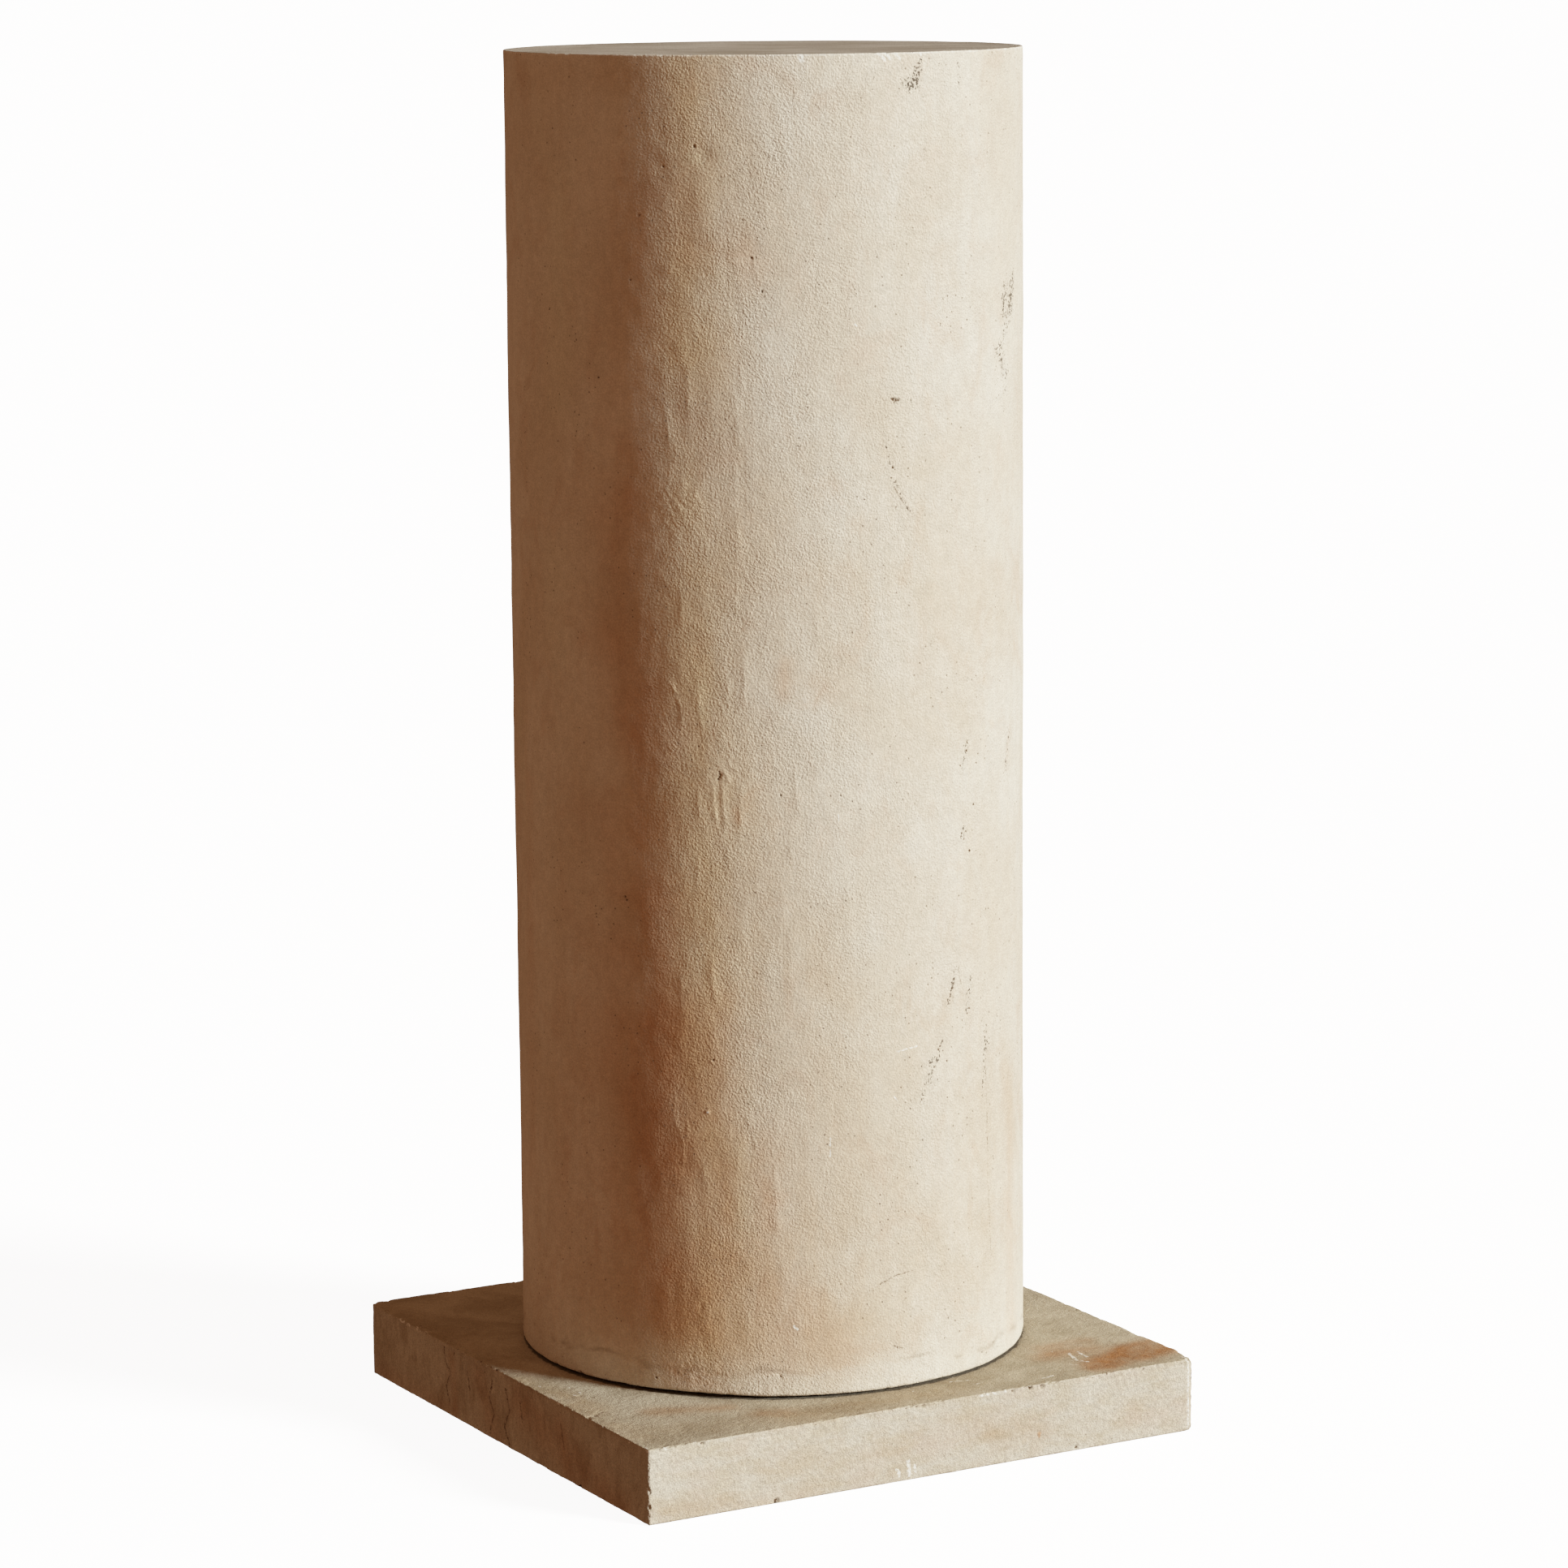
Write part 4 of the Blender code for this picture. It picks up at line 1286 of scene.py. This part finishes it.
def stain(look, colour, name, tint, size, shift):
    """The colour tinted where the mesh is painted, more in some places than in others."""
    cloud = look.spread(look.noise(size, 5.0, 0.6, upright=1.7, shift=shift, warp=0.4), 0.3, 0.7, 0.7, 1.25)
    share = look.math("MINIMUM", look.times(look.paint(name), cloud), 1.0)
    return look.mix(share, colour, tint, "MULTIPLY")


def speckled(look, colour, size, low, high, shift):
    """The colour, a little darker and lighter in fine grains."""
    speckle = look.spread(look.noise(size, 3.0, 0.65, shift=shift), 0.3, 0.72, low, high)
    shades = look.node("ShaderNodeCombineColor")
    for name in ("Red", "Green", "Blue"):
        look.feed(shades.inputs[name], speckle)
    return look.mix(1.0, colour, shades.outputs["Color"], "MULTIPLY")


def pin_pits(look, size, radius, share, shift):
    """Scattered pinholes, 1 at each: only some cells have one. The radius is in shares of the cell size."""
    distance, number = look.cells(size, shift)
    dots = look.spread(distance, 0.6 * radius, radius, 1.0, 0.0)
    return look.times(dots, look.spread(number, share, share + 0.01))


def flaked(look):
    """The fine specks of a flaked patch, 1 at each."""
    crumbs = look.noise(1.7 * MM, 3.0, 0.65, upright=1.3, shift=17.0)
    lifted = look.plus(crumbs, look.times(look.paint("flake"), 0.285))
    return look.spread(lifted, 0.765, 0.795)


def shaft_colour(look, clouds):
    """The plaster's colours on the shaft's side, before any mark, with stains that low down also paint
    shade, and painted warm shade along the shade line.
    """
    colour = look.mix(look.times(clouds, 0.75), SHAFT_PALE, SHAFT_SAND)
    blush = look.noise(30 * MM, 5.0, 0.65, upright=1.5, shift=7.0, warp=0.8)
    colour = look.mix(look.spread(blush, 0.48, 0.75, 0.0, 0.8), colour, SHAFT_PINK)
    streaks = look.spread(look.noise(9 * MM, 4.0, 0.6, upright=7.0, shift=4.0), 0.35, 0.7, 0.0, 0.3)
    colour = look.mix(streaks, colour, SHAFT_SAND)
    colour = look.mix(look.times(look.paint("olive"), 0.7), colour, SHAFT_OLIVE_GREY)
    # Tan and rust stains, which low down near the shade line are also painted shade, and painted warm shade
    # where the light grazes
    colour = stain(look, colour, "tan", TAN_TINT, 36 * MM, 11.0)
    colour = stain(look, colour, "painted_warm_shade", PAINTED_WARM_SHADE_TINT, 50 * MM, 22.0)
    return stain(look, colour, "rust", RUST_TINT, 34 * MM, 12.0)


def shaft_foot_and_rim(look, colour):
    """The washed foot with its tide line, a painted black shadow at the joint and the pale rim."""
    level = look.height()
    wash = look.noise(60 * MM, 3.0, 0.6, shift=2.0)
    tide = look.plus(level, look.spread(wash, 0.3, 0.7, -6 * MM, 6 * MM))
    washed = look.spread(tide, SHAFT_FOOT + 15 * MM, TIDE_LINE, 0.24, 0.0)
    colour = look.mix(washed, colour, SHAFT_WASHED)
    broken = look.spread(look.noise(24 * MM, 3.0, 0.6, shift=13.0), 0.42, 0.6, 0.0, 0.28)
    below = look.spread(tide, SHAFT_FOOT + 16 * MM, TIDE_LINE)
    line = look.times(below, look.spread(tide, TIDE_LINE, SHAFT_FOOT + 23 * MM, 1.0, 0.0))
    colour = look.mix(look.times(line, broken), colour, PIT_BROWN)
    # Painted shadow: black on the lowest half millimetre of the foot, down at the joint
    colour = look.mix(look.spread(level, JOINT_Z, JOINT_Z + 0.5 * MM, 0.9, 0.0), colour, PAINTED_JOINT_SHADOW)
    chalky = look.spread(look.noise(7 * MM, 4.0, 0.6, shift=19.0), 0.40, 0.60, 0.1, 0.6)
    rim = look.spread(level, SHAFT_TOP - 2.0 * MM, SHAFT_TOP - 0.9 * MM)
    return look.mix(look.times(rim, chalky), colour, CHALK)


def shaft_look():
    """Sand-coloured plaster with clouds, a rusty side that low down is also painted shade, painted warm
    shade where the light grazes, a painted shadow at the joint, a washed foot and a greyer seat.
    """
    look = Look("shaft_weathered_plaster")
    clouds = look.spread(look.noise(90 * MM, 5.0, 0.6, upright=1.5, shift=1.0, warp=0.5), 0.36, 0.66)
    colour = shaft_foot_and_rim(look, shaft_colour(look, clouds))
    seat = look.facing(2, 1.0)
    drift = look.spread(look.noise(70 * MM, 7.0, 0.65, shift=6.0, warp=0.3), 0.32, 0.70)
    colour = look.mix(look.times(seat, 0.94), colour, look.mix(drift, SEAT_GREY, SEAT_BROWN))
    colour = speckled(look, colour, 1.2 * MM, 0.86, 1.12, 8.0)
    colour = speckled(look, colour, 7.0 * MM, 0.94, 1.05, 14.0)
    pinned = look.spread(look.noise(50 * MM, 2.0, 0.5, shift=20.0), 0.42, 0.56)
    pins = look.times(pin_pits(look, 5.0 * MM, 0.16, 0.55, 5.0), pinned)
    colour = look.mix(look.times(pins, 0.60), colour, PIT_BROWN)
    specks = pin_pits(look, 8 * MM, 0.10, 0.88, 15.0)
    colour = look.mix(look.times(specks, look.times(seat, 0.8)), colour, CHALK)
    flakes = flaked(look)
    colour = look.mix(look.times(flakes, 0.88), colour, FLAKE_GREY)
    colour = marked(look, colour)
    sunk = look.plus(look.times(pins, PIN_DEPTH), look.times(flakes, FLAKE_DEPTH))
    relief = look.math("SUBTRACT", plaster_peel(look), sunk)
    return look.finish(colour, look.spread(clouds, 0.0, 1.0, 0.82, 0.92), relief)


def slab_front_colour(look):
    """Pale plaster with level streaks and faint pinkish patches."""
    streaks = look.noise(26 * MM, 6.0, 0.62, upright=0.45, shift=3.0, warp=0.3)
    colour = look.mix(look.spread(streaks, 0.36, 0.66), SLAB_FRONT_PALE, SLAB_FRONT_TAN)
    pink = look.spread(look.noise(36 * MM, 3.0, 0.6, shift=16.0), 0.45, 0.70, 0.0, 0.6)
    return look.mix(pink, colour, SLAB_FRONT_PINK)


def slab_left_colour_and_shade(look):
    """Browner plaster with upright runs, darker all over partly as painted shade for the dimmer light by
    the floor.
    """
    runs = look.spread(look.noise(4 * MM, 4.0, 0.60, upright=3.5, shift=4.0), 0.36, 0.68)
    patches = look.spread(look.noise(24 * MM, 5.0, 0.6, upright=1.4, shift=18.0, warp=0.6), 0.38, 0.66)
    both = look.plus(look.times(runs, 0.3), look.times(patches, 0.6))
    return look.mix(both, SLAB_LEFT_PALE, SLAB_LEFT_BROWN)


def slab_top_colour(look, clouds):
    """Sandy grey with an orange stain, painted shade darkening it towards the shaft's foot and a painted
    black shadow line in the joint.
    """
    colour = look.mix(clouds, SLAB_TOP_SAND, SLAB_TOP_GREY)
    colour = stain(look, colour, "rust", ORANGE_TINT, 22 * MM, 12.0)
    rag = look.spread(look.noise(9 * MM, 4.0, 0.6, shift=21.0), 0.3, 0.7, -MM, MM)
    ragged = look.plus(look.radius(), rag)
    # Painted shade: the top darkens over the last 13 mm towards the shaft's foot
    contact_shade = look.spread(ragged, SHAFT_RADIUS, SHAFT_RADIUS + 13 * MM, 0.30, 0.0)
    colour = look.mix(contact_shade, colour, SLAB_PAINTED_SHADE)
    # Painted shadow: a black line round the shaft's foot, in the joint
    joint = look.spread(ragged, SHAFT_RADIUS - 1.0 * MM, SHAFT_RADIUS + 0.6 * MM, 0.7, 0.0)
    return look.mix(joint, colour, PAINTED_JOINT_SHADOW)


def plinth_look():
    """The same plaster: sandy on top, pale in front and browner to the left, partly as painted shade, with
    cracks and stains and painted shade and shadow round the shaft's foot.
    """
    look = Look("plinth_weathered_plaster")
    up = look.facing(2, 1.0)
    clouds = look.spread(look.noise(50 * MM, 6.0, 0.65, shift=1.0, warp=0.6), 0.36, 0.66)
    # The left face takes its darker colours, which are partly painted shade
    side = look.mix(look.facing(0, -1.0), slab_front_colour(look), slab_left_colour_and_shade(look))
    side = stain(look, side, "rust", RUST_TINT, 18 * MM, 12.0)
    colour = look.mix(up, side, slab_top_colour(look, clouds))
    colour = stain(look, colour, "tan", TAN_TINT, 20 * MM, 11.0)
    colour = speckled(look, colour, 1.1 * MM, 0.77, 1.20, 8.0)
    colour = speckled(look, colour, 4.0 * MM, 0.94, 1.055, 14.0)
    flecks = pin_pits(look, 7 * MM, 0.09, 0.80, 2.0)
    colour = look.mix(look.times(flecks, look.times(up, 0.7)), colour, CHALK)
    pins = pin_pits(look, 6 * MM, 0.13, 0.62, 6.0)
    colour = look.mix(look.times(pins, 0.45), colour, PIT_BROWN)
    colour = marked(look, colour)
    sand = look.spread(look.noise(1.0 * MM, 2.0, 0.6, shift=5.0), 0.25, 0.75, -0.10 * MM, 0.10 * MM)
    lumps = look.spread(look.noise(4 * MM, 4.0, 0.6, shift=6.0), 0.25, 0.75, -0.20 * MM, 0.20 * MM)
    return look.finish(colour, look.spread(clouds, 0.0, 1.0, 0.85, 0.94), look.plus(sand, lumps))


# Studio: camera, floor and light

def make_camera():
    """The camera at the photograph's viewing angle."""
    data = bpy.data.cameras.new("camera")
    data.lens = CAMERA_LENS
    data.sensor_width = CAMERA_SENSOR
    data.clip_start = 0.1
    data.clip_end = 400.0
    camera = bpy.data.objects.new("camera", data)
    bpy.context.scene.collection.objects.link(camera)
    right, up, forward = camera_axes()
    rotation = Matrix((right, up, -forward)).transposed().to_4x4()
    camera.matrix_world = Matrix.Translation(camera_place()) @ rotation
    bpy.context.scene.camera = camera


FLOOR_RADIUS = 150.0
FLOOR_PALE = (0.85, 0.85, 0.85, 1.0)
FLOOR_LIFT = 0.64
FLOOR_DROP = 0.2 * MM


def floor_material():
    """A pale studio floor, lit evenly from inside so that it takes only a faint shadow."""
    material = bpy.data.materials.new("studio_floor")
    material.use_nodes = True
    inputs = material.node_tree.nodes["Principled BSDF"].inputs
    inputs["Base Color"].default_value = FLOOR_PALE
    inputs["Roughness"].default_value = 1.0
    inputs["Specular IOR Level"].default_value = 0.0
    inputs["Emission Color"].default_value = WHITE
    inputs["Emission Strength"].default_value = FLOOR_LIFT
    return material


def set_response():
    """The display curve of the photograph, which keeps its highlights soft."""
    view = bpy.context.scene.view_settings
    view.view_transform = "Standard"
    view.use_curve_mapping = True
    curve = view.curve_mapping.curves[3]
    whole = 1 - math.exp(-RESPONSE_SHOULDER)
    for light in RESPONSE_STEPS:
        curve.points.new(light, (1 - math.exp(-RESPONSE_SHOULDER * light)) / whole)
    view.curve_mapping.update()


def make_floor():
    """A wide round floor just under the slab."""
    form = bmesh.new()
    bmesh.ops.create_circle(form, cap_ends=True, segments=96, radius=FLOOR_RADIUS)
    mesh = bpy.data.meshes.new("floor")
    form.to_mesh(mesh)
    form.free()
    mesh.materials.append(floor_material())
    floor = bpy.data.objects.new("floor", mesh)
    floor.location.z = -FLOOR_DROP
    floor.visible_diffuse = False
    floor.visible_glossy = False
    bpy.context.scene.collection.objects.link(floor)


def make_key():
    """One large soft light from the right front."""
    data = bpy.data.lights.new("key", "SUN")
    data.energy = KEY_STRENGTH
    data.color = KEY_COLOUR
    data.angle = math.radians(KEY_SOFTNESS_DEG)
    key = bpy.data.objects.new("key", data)
    azimuth = math.radians(KEY_AZIMUTH_DEG)
    elevation = math.radians(KEY_ELEVATION_DEG)
    towards = Vector((
        math.sin(azimuth) * math.cos(elevation),
        -math.cos(azimuth) * math.cos(elevation),
        math.sin(elevation),
    ))
    key.rotation_mode = "QUATERNION"
    key.rotation_quaternion = towards.to_track_quat("Z", "Y")
    bpy.context.scene.collection.objects.link(key)


def make_fill():
    """A weak warm light from all round, behind a white backdrop."""
    world = bpy.data.worlds.new("studio")
    world.use_nodes = True
    tree = world.node_tree
    tree.nodes.clear()
    seen = tree.nodes.new("ShaderNodeLightPath").outputs["Is Camera Ray"]
    fill = tree.nodes.new("ShaderNodeBackground")
    fill.inputs["Color"].default_value = FILL_COLOUR
    fill.inputs["Strength"].default_value = FILL_STRENGTH
    backdrop = tree.nodes.new("ShaderNodeBackground")
    backdrop.inputs["Color"].default_value = WHITE
    choose = tree.nodes.new("ShaderNodeMixShader")
    tree.links.new(seen, choose.inputs[0])
    tree.links.new(fill.outputs[0], choose.inputs[1])
    tree.links.new(backdrop.outputs[0], choose.inputs[2])
    output = tree.nodes.new("ShaderNodeOutputWorld")
    tree.links.new(choose.outputs[0], output.inputs["Surface"])
    bpy.context.scene.world = world


def dress(piece, node, material):
    """The piece stands for its node, rides on the one body and takes the given material."""
    piece.data.materials.append(material)
    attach(piece, "root")
    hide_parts(node)


make_camera()
make_floor()
make_key()
make_fill()
set_response()
dress(make_shaft(), "shaft", shaft_look())
dress(make_plinth(), "plinth", plinth_look())
